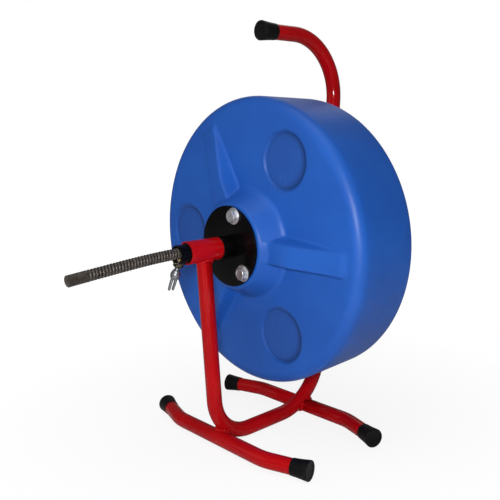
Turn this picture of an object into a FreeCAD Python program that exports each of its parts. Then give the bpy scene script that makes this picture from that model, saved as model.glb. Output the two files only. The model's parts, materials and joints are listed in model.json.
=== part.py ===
import FreeCAD
import Part
import Sketcher
import itertools
import math
import os

# Hand-turned drum drain snake machine.
#
# Two working frames are used, both with their origin where the drum's axis meets the plane of the drum's
# front face:
#   frame pieces: X to the right, Y to the back, Z up;
#   drum pieces:  Z along the drum's axis to the front, X and Y across it, turned with the drum.
# Each piece's Placement takes it from there to the part's own frame: +Z up, -Y to the front, and the origin
# on the floor below the middle of the machine without its free stretch of cable.

doc = FreeCAD.newDocument("drain_snake_machine")
sheet = doc.addObject("Spreadsheet::Sheet", "sizes")

SIZES = (
    # drum
    ("drum_radius", 220),
    ("drum_draft", 2.5),
    ("drum_depth", 119),
    ("drum_wall", 4),
    ("front_rim_round", 17),
    ("back_rim_bevel", 6),
    ("hub_top_edge", 4.3),
    ("hub_flare", 19),
    ("hub_rise", 36),
    ("hub_bore_radius", 40),
    ("back_hub_flare", 9),
    ("back_hub_rise", 12),
    ("rib_width", 41),
    ("rib_tip_gap", 12),
    ("rib_top_drop", 3),
    ("back_rib_rise", 9),
    ("recess_radius", 41.5),
    ("recess_reach", 149.3),
    ("recess_depth", 4),
    ("drum_turn", -3.7),
    # flange plates and their bolts
    ("flange_radius", 60.7),
    ("flange_thick", 3.3),
    ("bolt_reach", 49),
    ("bolt_turn", 74.7),
    ("bolt_radius", 5),
    ("bolt_hole_gap", 0.4),
    ("bolt_head_flats", 17),
    ("bolt_head_height", 6.4),
    ("bolt_end", 3),
    ("washer_radius", 12.5),
    ("washer_thick", 2),
    ("ring_bore_step", 1),
    ("ring_edge", 8),
    ("ring_thick", 5),
    # shaft, axle and bearings
    ("shaft_radius", 13.45),
    ("shaft_wall", 2.6),
    ("shaft_nose", 8),
    ("shaft_inner_length", 15),
    ("axle_length", 30),
    ("running_gap", 0.05),
    ("bush_wall", 1.35),
    ("bearing_wall", 2),
    ("bush_length", 20),
    ("front_bearing_length", 56.5),
    ("collar_plate_gap", 5.2),
    ("collar_length", 15.5),
    ("collar_end_gap", 0.5),
    ("collar_screw_radius", 3),
    ("collar_screw_turn", 200),
    ("back_bearing_gap", 4),
    ("back_bearing_inset", 6),
    ("back_bush_inset", 1),
    # clamp
    ("clamp_turn", 256.7),
    ("clamp_lean", 11),
    ("thread_radius", 4),
    ("thread_gap", 0.06),
    ("drill_gap", 0.25),
    ("nut_end_gap", 1.5),
    ("nut_flats", 13),
    ("nut_height", 6.05),
    ("pad_inset", 0.4),
    ("pad_thick", 3),
    ("pad_gap", 0.3),
    ("wing_hub_gap", 5.5),
    ("wing_hub_height", 10),
    ("wing_hub_radius", 7.5),
    ("wing_neck_radius", 5.6),
    ("wing_length", 16),
    ("wing_half_span", 19),
    ("wing_thick", 3.4),
    ("wing_tip_width", 8),
    ("wing_tip_round", 3.8),
    ("wing_turn", 120),
    # cable
    ("cable_radius", 8),
    ("cable_lift", 2.1),
    ("cable_join_gap", 0.3),
    ("coil_inner_radius", 150),
    ("coil_wall_gap", 1),
    ("coil_back_gap", 2),
    ("coil_width", 58),
    ("coil_bevel", 7),
    ("coil_wall", 6.6),
    ("lead_in_offset", 2),
    ("lead_in_round", 76),
    ("clip_width", 20),
    ("clip_thick", 3),
    ("clip_foot", 28),
    ("clip_leg", 24),
    ("clip_gap", 0.5),
    ("clip_turn", 30),
    # frame
    ("tube_radius", 11),
    ("tube_wall", 2),
    ("drum_clearance", 87),
    ("upright_inset", 25.8),
    ("front_lean", 1.92),
    ("base_clearance", 1),
    ("front_bend", 65),
    ("back_bend", 93),
    ("back_upright_gap", 42.2),
    ("back_lean", 6.6),
    ("handle_clearance", 96.5),
    ("handle_bend", 90),
    ("handle_end", 38),
    # feet and caps
    ("front_foot_inset", 12.8),
    ("back_foot_inset", 66.5),
    ("foot_corner", 100),
    ("foot_sweep", 17.5),
    ("foot_bend", 75),
    ("foot_half_length", 173),
    ("cap_wall", 1.6),
    ("cap_flare", 4),
    ("cap_end_thick", 3),
    ("cap_length", 31),
    ("cap_bevel", 2),
    ("cap_fit_gap", 0.1),
    ("handle_cap_flare", 4),
    ("handle_cap_length", 40),
    # how far back of the drum's front face the origin lies; set below from the finished pieces
    ("origin_back", 0),
)

for row, (alias, number) in enumerate(SIZES, start=1):
    sheet.set(f"A{row}", str(number))
    sheet.setAlias(f"A{row}", alias)
doc.recompute()


class Size:
    """A number together with the spreadsheet expression that gives it."""

    def __init__(self, number, text):
        self.number = number
        self.text = text

    @staticmethod
    def of(other):
        return other if isinstance(other, Size) else Size(float(other), f"({other})")

    def join(self, other, sign, number):
        return Size(number, f"({self.text} {sign} {other.text})")

    def __add__(self, other):
        other = Size.of(other)
        return self.join(other, "+", self.number + other.number)

    def __sub__(self, other):
        other = Size.of(other)
        return self.join(other, "-", self.number - other.number)

    def __mul__(self, other):
        other = Size.of(other)
        return self.join(other, "*", self.number * other.number)

    def __truediv__(self, other):
        other = Size.of(other)
        return self.join(other, "/", self.number / other.number)

    def __radd__(self, other):
        return Size.of(other) + self

    def __rsub__(self, other):
        return Size.of(other) - self

    def __rmul__(self, other):
        return Size.of(other) * self

    def __neg__(self):
        return Size(-self.number, f"(-1 * {self.text})")


def sine(angle):
    angle = Size.of(angle)
    return Size(math.sin(math.radians(angle.number)), f"sin({angle.text})")


def cosine(angle):
    angle = Size.of(angle)
    return Size(math.cos(math.radians(angle.number)), f"cos({angle.text})")


def tangent(angle):
    return sine(angle) / cosine(angle)


class Sheet:
    """Reads each named size of the spreadsheet as a Size."""

    def __getattr__(self, alias):
        return Size(float(sheet.get(alias)), f"sizes.{alias}")


S = Sheet()
derived_rows = itertools.count(len(SIZES) + 1)


def derived(alias, size):
    """Puts a worked-out size in the spreadsheet under its own name, which keeps later expressions short."""
    cell = f"A{next(derived_rows)}"
    sheet.set(cell, "=" + size.text.replace("sizes.", ""))
    sheet.setAlias(cell, alias)
    return Size(size.number, f"sizes.{alias}")


def bind(thing, **sizes):
    """Ties properties of an object to sizes."""
    for name, size in sizes.items():
        thing.setExpression(name, Size.of(size).text)
    return thing


def vector(x=0, y=0, z=0):
    return f"vector({Size.of(x).text}; {Size.of(y).text}; {Size.of(z).text})"


def turn(axis, angle):
    """A rotation's expression, about one of the axes X, Y and Z."""
    unit = {"X": vector(x=1), "Y": vector(y=1), "Z": vector(z=1)}[axis]
    return f"rotation({unit}; {Size.of(angle).text})"


def place(thing, *steps):
    """Sets a Placement by the product of its steps, each a (place, rotation) pair of expressions."""
    thing.setExpression("Placement", " * ".join(f"placement({where}; {how})" for where, how in steps))
    return thing


NO_TURN = turn("Z", 0)
NO_SHIFT = vector()


# ---------------------------------------------------------------------------------------------- sketches


def new_body(label):
    body = doc.addObject("PartDesign::Body", label)
    body.Label = label
    return body


def new_sketch(body, plane, offset=0, sideways=0, turned=0):
    """A sketch on one of the body's own origin planes.

    It is moved along the plane's normal by offset and along the plane's first axis by sideways, and turned
    about the plane's second axis.
    """
    sketch = body.newObject("Sketcher::SketchObject", f"{body.Name}_sketch")
    support = next(item for item in body.Origin.OriginFeatures if item.Role == plane)
    sketch.AttachmentSupport = [(support, "")]
    sketch.MapMode = "FlatFace"
    where, how = vector(sideways, 0, offset), turn("Y", turned)
    sketch.setExpression("AttachmentOffset", f"placement({where}; {how})")
    return sketch


def pin_point(sketch, element, end, x, y):
    """Fixes one end of a sketch element at a place."""
    for kind, size in (("DistanceX", Size.of(x)), ("DistanceY", Size.of(y))):
        number = sketch.addConstraint(Sketcher.Constraint(kind, -1, 1, element, end, size.number))
        sketch.setExpression(f"Constraints[{number}]", size.text)


def spot(point):
    return FreeCAD.Vector(Size.of(point[0]).number, Size.of(point[1]).number, 0)


def outline(sketch, points):
    """A closed outline of straight sides through the points."""
    first = sketch.GeometryCount
    count = len(points)
    for i in range(count):
        sketch.addGeometry(Part.LineSegment(spot(points[i]), spot(points[(i + 1) % count])), False)
    for i in range(count):
        sketch.addConstraint(
            Sketcher.Constraint("Coincident", first + i, 2, first + (i + 1) % count, 1)
        )
        pin_point(sketch, first + i, 1, *points[i])


def circle(sketch, radius, x=0, y=0):
    radius = Size.of(radius)
    shape = Part.Circle(spot((x, y)), FreeCAD.Vector(0, 0, 1), radius.number)
    element = sketch.addGeometry(shape, False)
    number = sketch.addConstraint(Sketcher.Constraint("Radius", element, radius.number))
    sketch.setExpression(f"Constraints[{number}]", radius.text)
    pin_point(sketch, element, 3, x, y)


def hexagon(sketch, flats, x=0, y=0, angle=0):
    """A closed hexagon of the width across its flats."""
    corner = flats / (2 * cosine(30))
    outline(
        sketch,
        [(x + corner * cosine(angle + 60 * i), y + corner * sine(angle + 60 * i)) for i in range(6)],
    )


# ---------------------------------------------------------------------------------------------- features


def revolve(body, points, name="revolution"):
    """Turns an outline of (radius, height) points about the body's Z axis."""
    sketch = new_sketch(body, "XZ_Plane")
    outline(sketch, points)
    feature = body.newObject("PartDesign::Revolution", f"{body.Name}_{name}")
    feature.Profile = sketch
    feature.ReferenceAxis = (sketch, ["V_Axis"])
    feature.Angle = 360
    return feature


def pad(body, sketch, length, both_ways=False, backwards=False):
    feature = body.newObject("PartDesign::Pad", f"{body.Name}_pad")
    feature.Profile = sketch
    bind(feature, Length=length)
    feature.Midplane = both_ways
    feature.Reversed = backwards
    return feature


def pocket_through(body, sketch):
    feature = body.newObject("PartDesign::Pocket", f"{body.Name}_pocket")
    feature.Profile = sketch
    feature.Type = "ThroughAll"
    feature.Midplane = True
    return feature


def repeat_round(body, features, count=3):
    """Repeats features about the body's Z axis."""
    pattern = body.newObject("PartDesign::PolarPattern", f"{body.Name}_pattern")
    pattern.Originals = features
    pattern.Axis = (next(i for i in body.Origin.OriginFeatures if i.Role == "Z_Axis"), [""])
    pattern.Angle = 360
    pattern.Occurrences = count
    body.Tip = pattern
    return pattern


def fillet_edges(body, chosen, radius):
    """Rounds the edges of the body's tip that the test picks out."""
    doc.recompute()
    base = body.Tip
    names = [f"Edge{i + 1}" for i, edge in enumerate(base.Shape.Edges) if chosen(edge)]
    if not names:
        raise RuntimeError(f"{body.Label}: no edge to round")
    feature = body.newObject("PartDesign::Fillet", f"{body.Name}_round")
    feature.Base = (base, names)
    bind(feature, Radius=radius)
    body.Tip = feature
    doc.recompute()
    return feature


def bent_tube(label, radius, bore, runs, bends):
    """A tube, or a bar if bore is None, bent in its own XY plane from the origin, where it heads along +X.

    runs are the straight lengths between its ends and bends, and bends are (radius, angle) pairs, with the
    angle positive where the tube turns left.
    """
    body = new_body(label)
    x, y, heading = Size.of(0), Size.of(0), Size.of(0)

    def section():
        sketch = new_sketch(body, "YZ_Plane", x, y, heading)
        circle(sketch, radius)
        if bore is not None:
            circle(sketch, bore)
        return sketch

    for i, run in enumerate(runs):
        pad(body, section(), run)
        x, y = x + run * cosine(heading), y + run * sine(heading)
        if i < len(bends):
            bend_radius, angle = bends[i]
            angle = Size.of(angle)
            left = angle.number > 0
            centre = bend_radius if left else -bend_radius
            sketch = section()
            axis = sketch.addGeometry(
                Part.LineSegment(spot((centre, -bend_radius)), spot((centre, bend_radius))), True
            )
            pin_point(sketch, axis, 1, centre, -bend_radius)
            pin_point(sketch, axis, 2, centre, bend_radius)
            bend = body.newObject("PartDesign::Revolution", f"{label}_bend")
            bend.Profile = sketch
            bend.ReferenceAxis = (sketch, ["Axis0"])
            bend.Reversed = not left
            bind(bend, Angle=angle if left else -angle)
            x, y = x - centre * sine(heading), y + centre * cosine(heading)
            heading = derived(f"{label}_heading_{i}", heading + angle)
            x = derived(f"{label}_x_{i}", x + centre * sine(heading))
            y = derived(f"{label}_y_{i}", y - centre * cosine(heading))
    return body


def cut(label, base, *tools):
    """The base piece less the tools, as a piece of its own."""
    whole = base
    for i, tool in enumerate(tools):
        feature = doc.addObject("Part::Cut", f"{label}_cut{i}")
        feature.Base = whole
        feature.Tool = tool
        feature.Refine = False
        whole = feature
    whole.Label = label
    return whole


def rod(name, radius, height, *steps):
    thing = doc.addObject("Part::Cylinder", name)
    bind(thing, Radius=radius, Height=height)
    return place(thing, *steps) if steps else thing


pieces = []


def keep(thing, label, *steps):
    """Names a finished piece, places it and puts it on the list of pieces."""
    thing.Label = label
    if steps:
        place(thing, *steps)
    pieces.append(thing)
    return thing


# ------------------------------------------------------------------------------- sizes that follow others

axis_height = derived("axis_height", S.drum_radius + S.drum_clearance)
IN_FRAME = (vector(0, -S.origin_back, axis_height), NO_TURN)
ON_AXIS = (vector(0, -S.origin_back, axis_height), turn("X", 90))
WITH_DRUM = (ON_AXIS, (NO_SHIFT, turn("Z", S.drum_turn)))

hub_top_radius = derived("hub_top_radius", S.flange_radius + S.hub_top_edge)
hub_base_radius = derived("hub_base_radius", hub_top_radius + S.hub_flare)
back_hub_base_radius = derived("back_hub_base_radius", hub_top_radius + S.back_hub_flare)
shaft_bore = derived("shaft_bore", S.shaft_radius - S.shaft_wall)
bush_bore = derived("bush_bore", S.shaft_radius + S.running_gap)
bearing_bore = derived("bearing_bore", bush_bore + S.bush_wall)
bearing_radius = derived("bearing_radius", bearing_bore + S.bearing_wall)
foot_cap_radius = derived("foot_cap_radius", S.tube_radius + S.cap_flare)
plate_front = derived("plate_front", S.hub_rise + S.flange_thick)
collar_back = derived("collar_back", plate_front + S.collar_plate_gap)
collar_front = derived("collar_front", collar_back + S.collar_length)
bearing_back = derived("bearing_back", collar_front + S.collar_end_gap)
bearing_front = derived("bearing_front", bearing_back + S.front_bearing_length)
clamp_reach = derived("clamp_reach", bearing_front + S.nut_end_gap + S.nut_flats / 2)
shaft_front = derived("shaft_front", clamp_reach + S.shaft_nose)
back_plate_front = derived("back_plate_front", S.drum_depth + S.back_hub_rise)
back_plate_back = derived("back_plate_back", back_plate_front + S.flange_thick)
back_bearing_front = derived("back_bearing_front", back_plate_back + S.back_bearing_gap)
back_upright = derived("back_upright", back_plate_back + S.back_upright_gap)
front_upright = derived("front_upright", bearing_back + S.upright_inset)
floor = -axis_height
foot_level = derived("foot_level", floor + foot_cap_radius)
base_level = derived("base_level", floor + S.tube_radius + S.base_clearance)
handle_level = derived("handle_level", S.drum_radius + S.handle_clearance)
drum_back_radius = derived("drum_back_radius", S.drum_radius - S.drum_draft)

# The clamp's frame: origin on the shaft's axis, Z outward along the wing screw.
TO_CLAMP = (
    (vector(0, 0, clamp_reach), turn("Z", S.clamp_turn)),
    (NO_SHIFT, turn("Y", 90 - S.clamp_lean)),
)
AT_CLAMP = (*WITH_DRUM, *TO_CLAMP)
pad_radius = derived("pad_radius", S.thread_radius - S.pad_inset)
pad_start = derived(
    "pad_start",
    (S.cable_radius - S.cable_lift + S.pad_gap + pad_radius * sine(S.clamp_lean)) / cosine(S.clamp_lean),
)
screw_start = derived("screw_start", pad_start + S.pad_thick)
nut_end = derived("nut_end", S.shaft_radius + S.nut_height)
wing_hub_start = derived("wing_hub_start", nut_end + S.wing_hub_gap)
hub_end = derived("hub_end", wing_hub_start + S.wing_hub_height)
wing_notch = derived("wing_notch", hub_end + S.wing_tip_width / 2)
wing_end = derived("wing_end", hub_end + S.wing_length)


# -------------------------------------------------------------------------------------------- drum shell


def offset_share(run, rise):
    """How much a corner of a sloping wall moves in for each unit that all its faces move in."""
    slope = run / rise
    return Size(
        math.sqrt(1 + slope.number**2) - slope.number, f"(sqrt(1 + {slope.text} ^ 2) - {slope.text})"
    )


def drum_form(label, inset):
    """The drum's solid form, with every face moved in by inset. Three flats make its front rim's round."""
    body = new_body(label)
    inset = Size.of(inset)
    hub_in = inset * offset_share(hub_base_radius - hub_top_radius, S.hub_rise)
    back_in = inset * offset_share(back_hub_base_radius - hub_top_radius, S.back_hub_rise)
    front, back = -inset, inset - S.drum_depth
    hub_top, back_hub_top = S.hub_rise - inset, inset - back_plate_front
    rim, bend = S.back_rim_bevel, S.front_rim_round - inset
    body_radius, back_radius = S.drum_radius - inset, drum_back_radius - inset
    front_rim = [
        (body_radius - bend * (1 - sine(angle)), front - bend * (1 - cosine(angle)))
        for angle in (0, 30, 60, 90)
    ]
    body.Tip = revolve(
        body,
        [
            (0, hub_top),
            (hub_top_radius - hub_in, hub_top),
            (hub_base_radius - hub_in, front),
            *front_rim,
            (back_radius, back + rim),
            (back_radius - rim, back),
            (back_hub_base_radius - back_in, back),
            (hub_top_radius - back_in, back_hub_top),
            (0, back_hub_top),
        ],
    )
    for base, root, upward in (
        (front, S.hub_rise - S.rib_top_drop - inset, 1),
        (back, -S.drum_depth - S.back_rib_rise + inset, -1),
    ):
        sketch = new_sketch(body, "XZ_Plane")
        start, tip = S.hub_bore_radius, S.drum_radius - S.rib_tip_gap - S.front_rim_round
        below = base - upward * S.drum_wall
        outline(sketch, [(start, below), (start, root), (hub_top_radius, root), (tip, base), (tip, below)])
        pad(body, sketch, S.rib_width - inset * 2, both_ways=True)
        repeat_round(body, [body.Group[-1]])
        sketch = new_sketch(body, "XY_Plane", base)
        reach = S.recess_reach
        circle(sketch, S.recess_radius + inset, reach * cosine(60), reach * sine(60))
        recess = body.newObject("PartDesign::Pocket", f"{label}_recess")
        recess.Profile = sketch
        recess.Reversed = upward < 0
        bind(recess, Length=S.recess_depth)
        repeat_round(body, [recess])
    return body


outer_form = drum_form("drum_outer_form", 0)
sketch = new_sketch(outer_form, "XY_Plane")
circle(sketch, S.hub_bore_radius)
for i in range(3):
    angle = S.bolt_turn + 120 * i
    circle(
        sketch,
        S.bolt_radius + S.bolt_hole_gap,
        S.bolt_reach * cosine(angle),
        S.bolt_reach * sine(angle),
    )
outer_form.Tip = pocket_through(outer_form, sketch)
inner_form = drum_form("drum_inner_form", S.drum_wall)
keep(cut("drum_shell", outer_form, inner_form), "drum_shell", *WITH_DRUM)


# ------------------------------------------------------------------------ flange plates, rings and bolts


def disc(label, radius, bore, start, thick, holes=None):
    """A round plate about the drum's axis from the height start, with three bolt holes if holes is set."""
    body = new_body(label)
    sketch = new_sketch(body, "XY_Plane", start)
    circle(sketch, radius)
    circle(sketch, bore)
    pad(body, sketch, thick)
    if holes is not None:
        sketch = new_sketch(body, "XY_Plane", start)
        turned = S.bolt_turn
        circle(sketch, holes, S.bolt_reach * cosine(turned), S.bolt_reach * sine(turned))
        repeat_round(body, [pocket_through(body, sketch)])
    return body


def bolts(label, washer_label, seat, upward, grip):
    """Three bolts and their washers, whose heads stand from the height seat to the front or the back."""
    turned = S.bolt_turn
    where = (S.bolt_reach * cosine(turned), S.bolt_reach * sine(turned))
    body = new_body(washer_label)
    body.AllowCompound = True
    sketch = new_sketch(body, "XY_Plane", seat)
    circle(sketch, S.washer_radius, *where)
    circle(sketch, S.bolt_radius, *where)
    repeat_round(body, [pad(body, sketch, S.washer_thick, backwards=upward < 0)])
    keep(body, washer_label, *WITH_DRUM)
    body = new_body(label)
    body.AllowCompound = True
    under_head = seat + upward * S.washer_thick
    sketch = new_sketch(body, "XY_Plane", under_head)
    hexagon(sketch, S.bolt_head_flats, *where, angle=turned)
    head = pad(body, sketch, S.bolt_head_height, backwards=upward < 0)
    sketch = new_sketch(body, "XY_Plane", under_head)
    circle(sketch, S.bolt_radius, *where)
    shank = pad(body, sketch, S.washer_thick + grip + S.bolt_end, backwards=upward > 0)
    repeat_round(body, [head, shank])
    keep(body, label, *WITH_DRUM)


plate_hole = S.bolt_radius + S.bolt_hole_gap
grip = S.flange_thick + S.drum_wall + S.ring_thick
front_plate = disc(
    "front_flange_plate", S.flange_radius, S.shaft_radius, S.hub_rise, S.flange_thick, plate_hole
)
back_plate = disc(
    "rear_flange_plate", S.flange_radius, S.shaft_radius, -back_plate_back, S.flange_thick, plate_hole
)
front_ring = disc(
    "front_backing_ring",
    S.bolt_reach + S.ring_edge,
    S.hub_bore_radius + S.ring_bore_step,
    S.hub_rise - S.drum_wall - S.ring_thick,
    S.ring_thick,
    S.bolt_radius,
)
back_ring = disc(
    "rear_backing_ring",
    S.bolt_reach + S.ring_edge,
    S.hub_bore_radius + S.ring_bore_step,
    S.drum_wall - back_plate_front,
    S.ring_thick,
    S.bolt_radius,
)
for plate in (front_plate, back_plate, front_ring, back_ring):
    keep(plate, plate.Label, *WITH_DRUM)
bolts("front_flange_bolts", "front_flange_washers", plate_front, 1, grip)
bolts("rear_flange_bolts", "rear_flange_washers", -back_plate_back, -1, grip)


# ------------------------------------------------------------------------------ shaft, collar and axle


shaft_start = S.hub_rise - S.shaft_inner_length
shaft_blank = disc(
    "outlet_shaft_blank", S.shaft_radius, shaft_bore, shaft_start, shaft_front - shaft_start
)
shaft_drill = rod("shaft_drill", S.thread_radius + S.drill_gap, nut_end, *TO_CLAMP)
keep(cut("outlet_shaft", shaft_blank, shaft_drill), "outlet_shaft", *WITH_DRUM)

collar_blank = disc(
    "stop_collar_blank", bearing_radius, S.shaft_radius, collar_back, S.collar_length
)
collar_middle = collar_back + S.collar_length / 2
to_collar_screw = (
    (vector(0, 0, collar_middle), turn("Z", S.collar_screw_turn)),
    (NO_SHIFT, turn("Y", 90)),
)
collar_drill = rod("collar_drill", S.collar_screw_radius, bearing_radius * 2, *to_collar_screw)
keep(cut("stop_collar", collar_blank, collar_drill), "stop_collar", *WITH_DRUM)
keep(
    rod("collar_screw", S.collar_screw_radius, bearing_radius - S.shaft_radius - S.collar_end_gap),
    "stop_collar_screw",
    *WITH_DRUM,
    *to_collar_screw,
    (vector(0, 0, S.shaft_radius), NO_TURN),
)

axle = disc(
    "rear_axle",
    S.shaft_radius,
    shaft_bore,
    -back_plate_front - S.axle_length,
    S.axle_length,
)
keep(axle, "rear_axle", *WITH_DRUM)


# ----------------------------------------------------------------------------- clamp nut and wing screw

nut_blank = new_body("clamp_nut_blank")
sketch = new_sketch(nut_blank, "XY_Plane")
hexagon(sketch, S.nut_flats)
circle(sketch, S.thread_radius)
pad(nut_blank, sketch, nut_end)
nut_saddle = rod(
    "nut_saddle",
    S.shaft_radius,
    4 * nut_end,
    (NO_SHIFT, turn("Y", S.clamp_lean - 90)),
    (vector(0, 0, -2 * nut_end), NO_TURN),
)
keep(cut("clamp_nut", nut_blank, nut_saddle), "clamp_nut", *AT_CLAMP)

pad_disc = rod("pad_disc", pad_radius, S.pad_thick)
keep(pad_disc, "clamp_pad", *AT_CLAMP, (vector(0, 0, pad_start), NO_TURN))

wing_screw = new_body("wing_screw")
screw_radius = S.thread_radius - S.thread_gap
hub_bevel = S.wing_hub_radius - S.wing_neck_radius
revolve(
    wing_screw,
    [
        (0, screw_start),
        (screw_radius, screw_start),
        (screw_radius, wing_hub_start),
        (S.wing_neck_radius, wing_hub_start),
        (S.wing_hub_radius, wing_hub_start + hub_bevel),
        (S.wing_hub_radius, hub_end - hub_bevel),
        (S.wing_neck_radius, hub_end),
        (S.wing_neck_radius, wing_notch),
        (0, wing_notch),
    ],
)
sketch = new_sketch(wing_screw, "XZ_Plane")
wing_foot = hub_end - hub_bevel
right_side = [
    (S.wing_neck_radius, wing_foot),
    (S.wing_half_span, wing_notch),
    (S.wing_half_span, wing_end),
    (S.wing_half_span - S.wing_tip_width, wing_end),
    (S.wing_neck_radius, wing_notch + S.wing_thick),
    (S.wing_neck_radius / 2, wing_notch),
]
outline(sketch, right_side + [(-x, z) for x, z in reversed(right_side)])
pad(wing_screw, sketch, S.wing_thick, both_ways=True)


def is_wing_tip(edge):
    """A corner across the wing plate near its end."""
    ends = [vertex.Point for vertex in edge.Vertexes]
    along = len(ends) == 2 and abs(ends[0].y - ends[1].y) > S.wing_thick.number * 0.9
    return along and min(end.z for end in ends) > wing_end.number - 0.1


fillet_edges(wing_screw, is_wing_tip, S.wing_tip_round)
keep(wing_screw, "wing_screw", *AT_CLAMP, (NO_SHIFT, turn("Z", S.wing_turn)))


# ------------------------------------------------------------------------------- cable inside the drum


coil_middle = derived(
    "coil_middle", S.coil_back_gap + S.recess_depth + S.drum_wall + S.coil_width / 2 - S.drum_depth
)


def coil_form(label, inset, bevel):
    """The stored turns' outer shape with every face moved in by inset."""
    body = new_body(label)
    radius = drum_back_radius - S.drum_wall - S.coil_wall_gap
    low, high = coil_middle - S.coil_width / 2 + inset, coil_middle + S.coil_width / 2 - inset
    near, far = S.coil_inner_radius + inset, radius - inset
    revolve(
        body,
        [
            (near, low + bevel),
            (near + bevel, low),
            (far - bevel, low),
            (far, low + bevel),
            (far, high - bevel),
            (far - bevel, high),
            (near + bevel, high),
            (near, high - bevel),
        ],
    )
    return body


# The ring is hollow, with the wall that gives it the weight of about 14.5 m of sprung steel cable.
coil_outer = coil_form("coil_outer_form", 0, S.coil_bevel)
coil_core = coil_form("coil_core_form", S.coil_wall, S.coil_bevel / 2)
keep(cut("snake_coil", coil_outer, coil_core), "snake_coil", *WITH_DRUM)

# The lead-in begins in line with the cable's straight run, which lies off the axis by the lift.
lead_depth = derived("lead_depth", S.lead_in_offset - coil_middle - S.cable_join_gap)
lead_reach = derived("lead_reach", S.coil_inner_radius - S.cable_join_gap - S.cable_lift)
lift_x, lift_y = -S.cable_lift * cosine(S.clamp_turn), -S.cable_lift * sine(S.clamp_turn)
lead_in = bent_tube(
    "snake_lead_in",
    S.cable_radius,
    None,
    [lead_depth - S.lead_in_round, lead_reach - S.lead_in_round],
    [(S.lead_in_round, 90)],
)
keep(
    lead_in,
    "snake_lead_in",
    *WITH_DRUM,
    (vector(lift_x, lift_y, -S.cable_join_gap), turn("Y", 90)),
    (NO_SHIFT, turn("X", 90)),
)

clip = new_body("tail_clip")
sketch = new_sketch(clip, "XZ_Plane")
wall_level = S.drum_wall - S.drum_depth
leg_face = S.coil_inner_radius - S.clip_gap
outline(
    sketch,
    [
        (leg_face, wall_level),
        (leg_face, wall_level + S.clip_leg),
        (leg_face - S.clip_thick, wall_level + S.clip_leg),
        (leg_face - S.clip_thick, wall_level + S.clip_thick),
        (leg_face - S.clip_foot, wall_level + S.clip_thick),
        (leg_face - S.clip_foot, wall_level),
    ],
)
pad(clip, sketch, S.clip_width, both_ways=True)
keep(clip, "tail_clip", *WITH_DRUM, (NO_SHIFT, turn("Z", S.clip_turn)))


# ------------------------------------------------------------------------------------------------ frame


start_level = -bearing_radius / 2
upright_top = derived("upright_top", -front_upright - start_level * tangent(S.front_lean))
upright_foot = derived("upright_foot", -front_upright - base_level * tangent(S.front_lean))
back_foot = derived("back_foot", back_upright + base_level * tangent(S.back_lean))
back_top = derived("back_top", back_upright + handle_level * tangent(S.back_lean))
FRAME_BENDS = [
    (S.front_bend, 90 - S.front_lean),
    (S.back_bend, 90 - S.back_lean),
    (S.handle_bend, 90 + S.back_lean),
]
front_take, back_take, handle_take = [
    derived(f"frame_take_{i}", radius * tangent(angle / 2)) for i, (radius, angle) in enumerate(FRAME_BENDS)
]
FRAME_RUNS = [
    (start_level - base_level) / cosine(S.front_lean) - front_take,
    back_foot - upright_foot - front_take - back_take,
    (handle_level - base_level) / cosine(S.back_lean) - back_take - handle_take,
    back_top - S.handle_end - handle_take,
]


def frame_bar(label, bore=None):
    """The frame's bent bar, as a tube if a bore is given: down, back, up and forward again."""
    body = bent_tube(label, S.tube_radius, bore, FRAME_RUNS, FRAME_BENDS)
    return place(
        body,
        (vector(0, upright_top, start_level), turn("X", S.front_lean - 90)),
        (NO_SHIFT, turn("Z", 90)),
        (NO_SHIFT, turn("X", 90)),
    )


frame_rod = frame_bar("frame_rod")
frame_blank = frame_bar("frame_tube_blank", S.tube_radius - S.tube_wall)
bearing_rod = rod(
    "bearing_rod",
    bearing_radius,
    S.front_bearing_length,
    (vector(0, -bearing_back, 0), turn("X", 90)),
)
keep(cut("frame_tube", frame_blank, bearing_rod), "frame_tube", IN_FRAME)


def sleeves(label, bore, length, *starts):
    """Short plain bearing bushes about the drum's axis from each start height."""
    body = new_body(label)
    body.AllowCompound = True
    for start in starts:
        sketch = new_sketch(body, "XY_Plane", start)
        circle(sketch, bearing_bore)
        circle(sketch, bore)
        pad(body, sketch, length)
    return body


front_bearing = disc(
    "front_bearing_tube",
    bearing_radius,
    bearing_bore,
    bearing_back,
    S.front_bearing_length,
)
keep(front_bearing, "front_bearing_tube", ON_AXIS)
front_bushes = sleeves(
    "front_bearing_bushes", bush_bore, S.bush_length, bearing_back, bearing_front - S.bush_length
)
keep(front_bushes, "front_bearing_bushes", ON_AXIS)

back_bearing_back = derived("back_bearing_back", back_upright - S.back_bearing_inset)
back_bearing_blank = disc(
    "rear_bearing_blank",
    bearing_radius,
    bearing_bore,
    -back_bearing_back,
    back_bearing_back - back_bearing_front,
)
place(back_bearing_blank, (NO_SHIFT, turn("X", 90)))
keep(cut("rear_bearing_tube", back_bearing_blank, frame_rod), "rear_bearing_tube", IN_FRAME)
back_bush = sleeves(
    "rear_bearing_bush",
    bush_bore,
    S.bush_length,
    -back_bearing_front - S.back_bush_inset - S.bush_length,
)
keep(back_bush, "rear_bearing_bush", ON_AXIS)


# --------------------------------------------------------------------------------------- feet and caps


def cap(label, length, end_radius, *steps):
    """A push-on ferrule with its open end down, whose closed end starts at the tube's end face."""
    body = new_body(label)
    bore = S.tube_radius + S.cap_fit_gap
    revolve(
        body,
        [
            (0, 0),
            (bore, 0),
            (bore, -length),
            (S.tube_radius + S.cap_wall, -length),
            (end_radius, 0),
            (end_radius, S.cap_end_thick - S.cap_bevel),
            (end_radius - S.cap_bevel, S.cap_end_thick),
            (0, S.cap_end_thick),
        ],
    )
    return keep(body, label, IN_FRAME, *steps)


end_run = derived("end_run", (S.foot_half_length - S.foot_corner) / cosine(S.foot_sweep))
foot_take = derived("foot_take", S.foot_bend * tangent(S.foot_sweep / 2))
FOOT_RUNS = [end_run - foot_take, S.foot_corner * 2 - foot_take * 2, end_run - foot_take]


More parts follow.
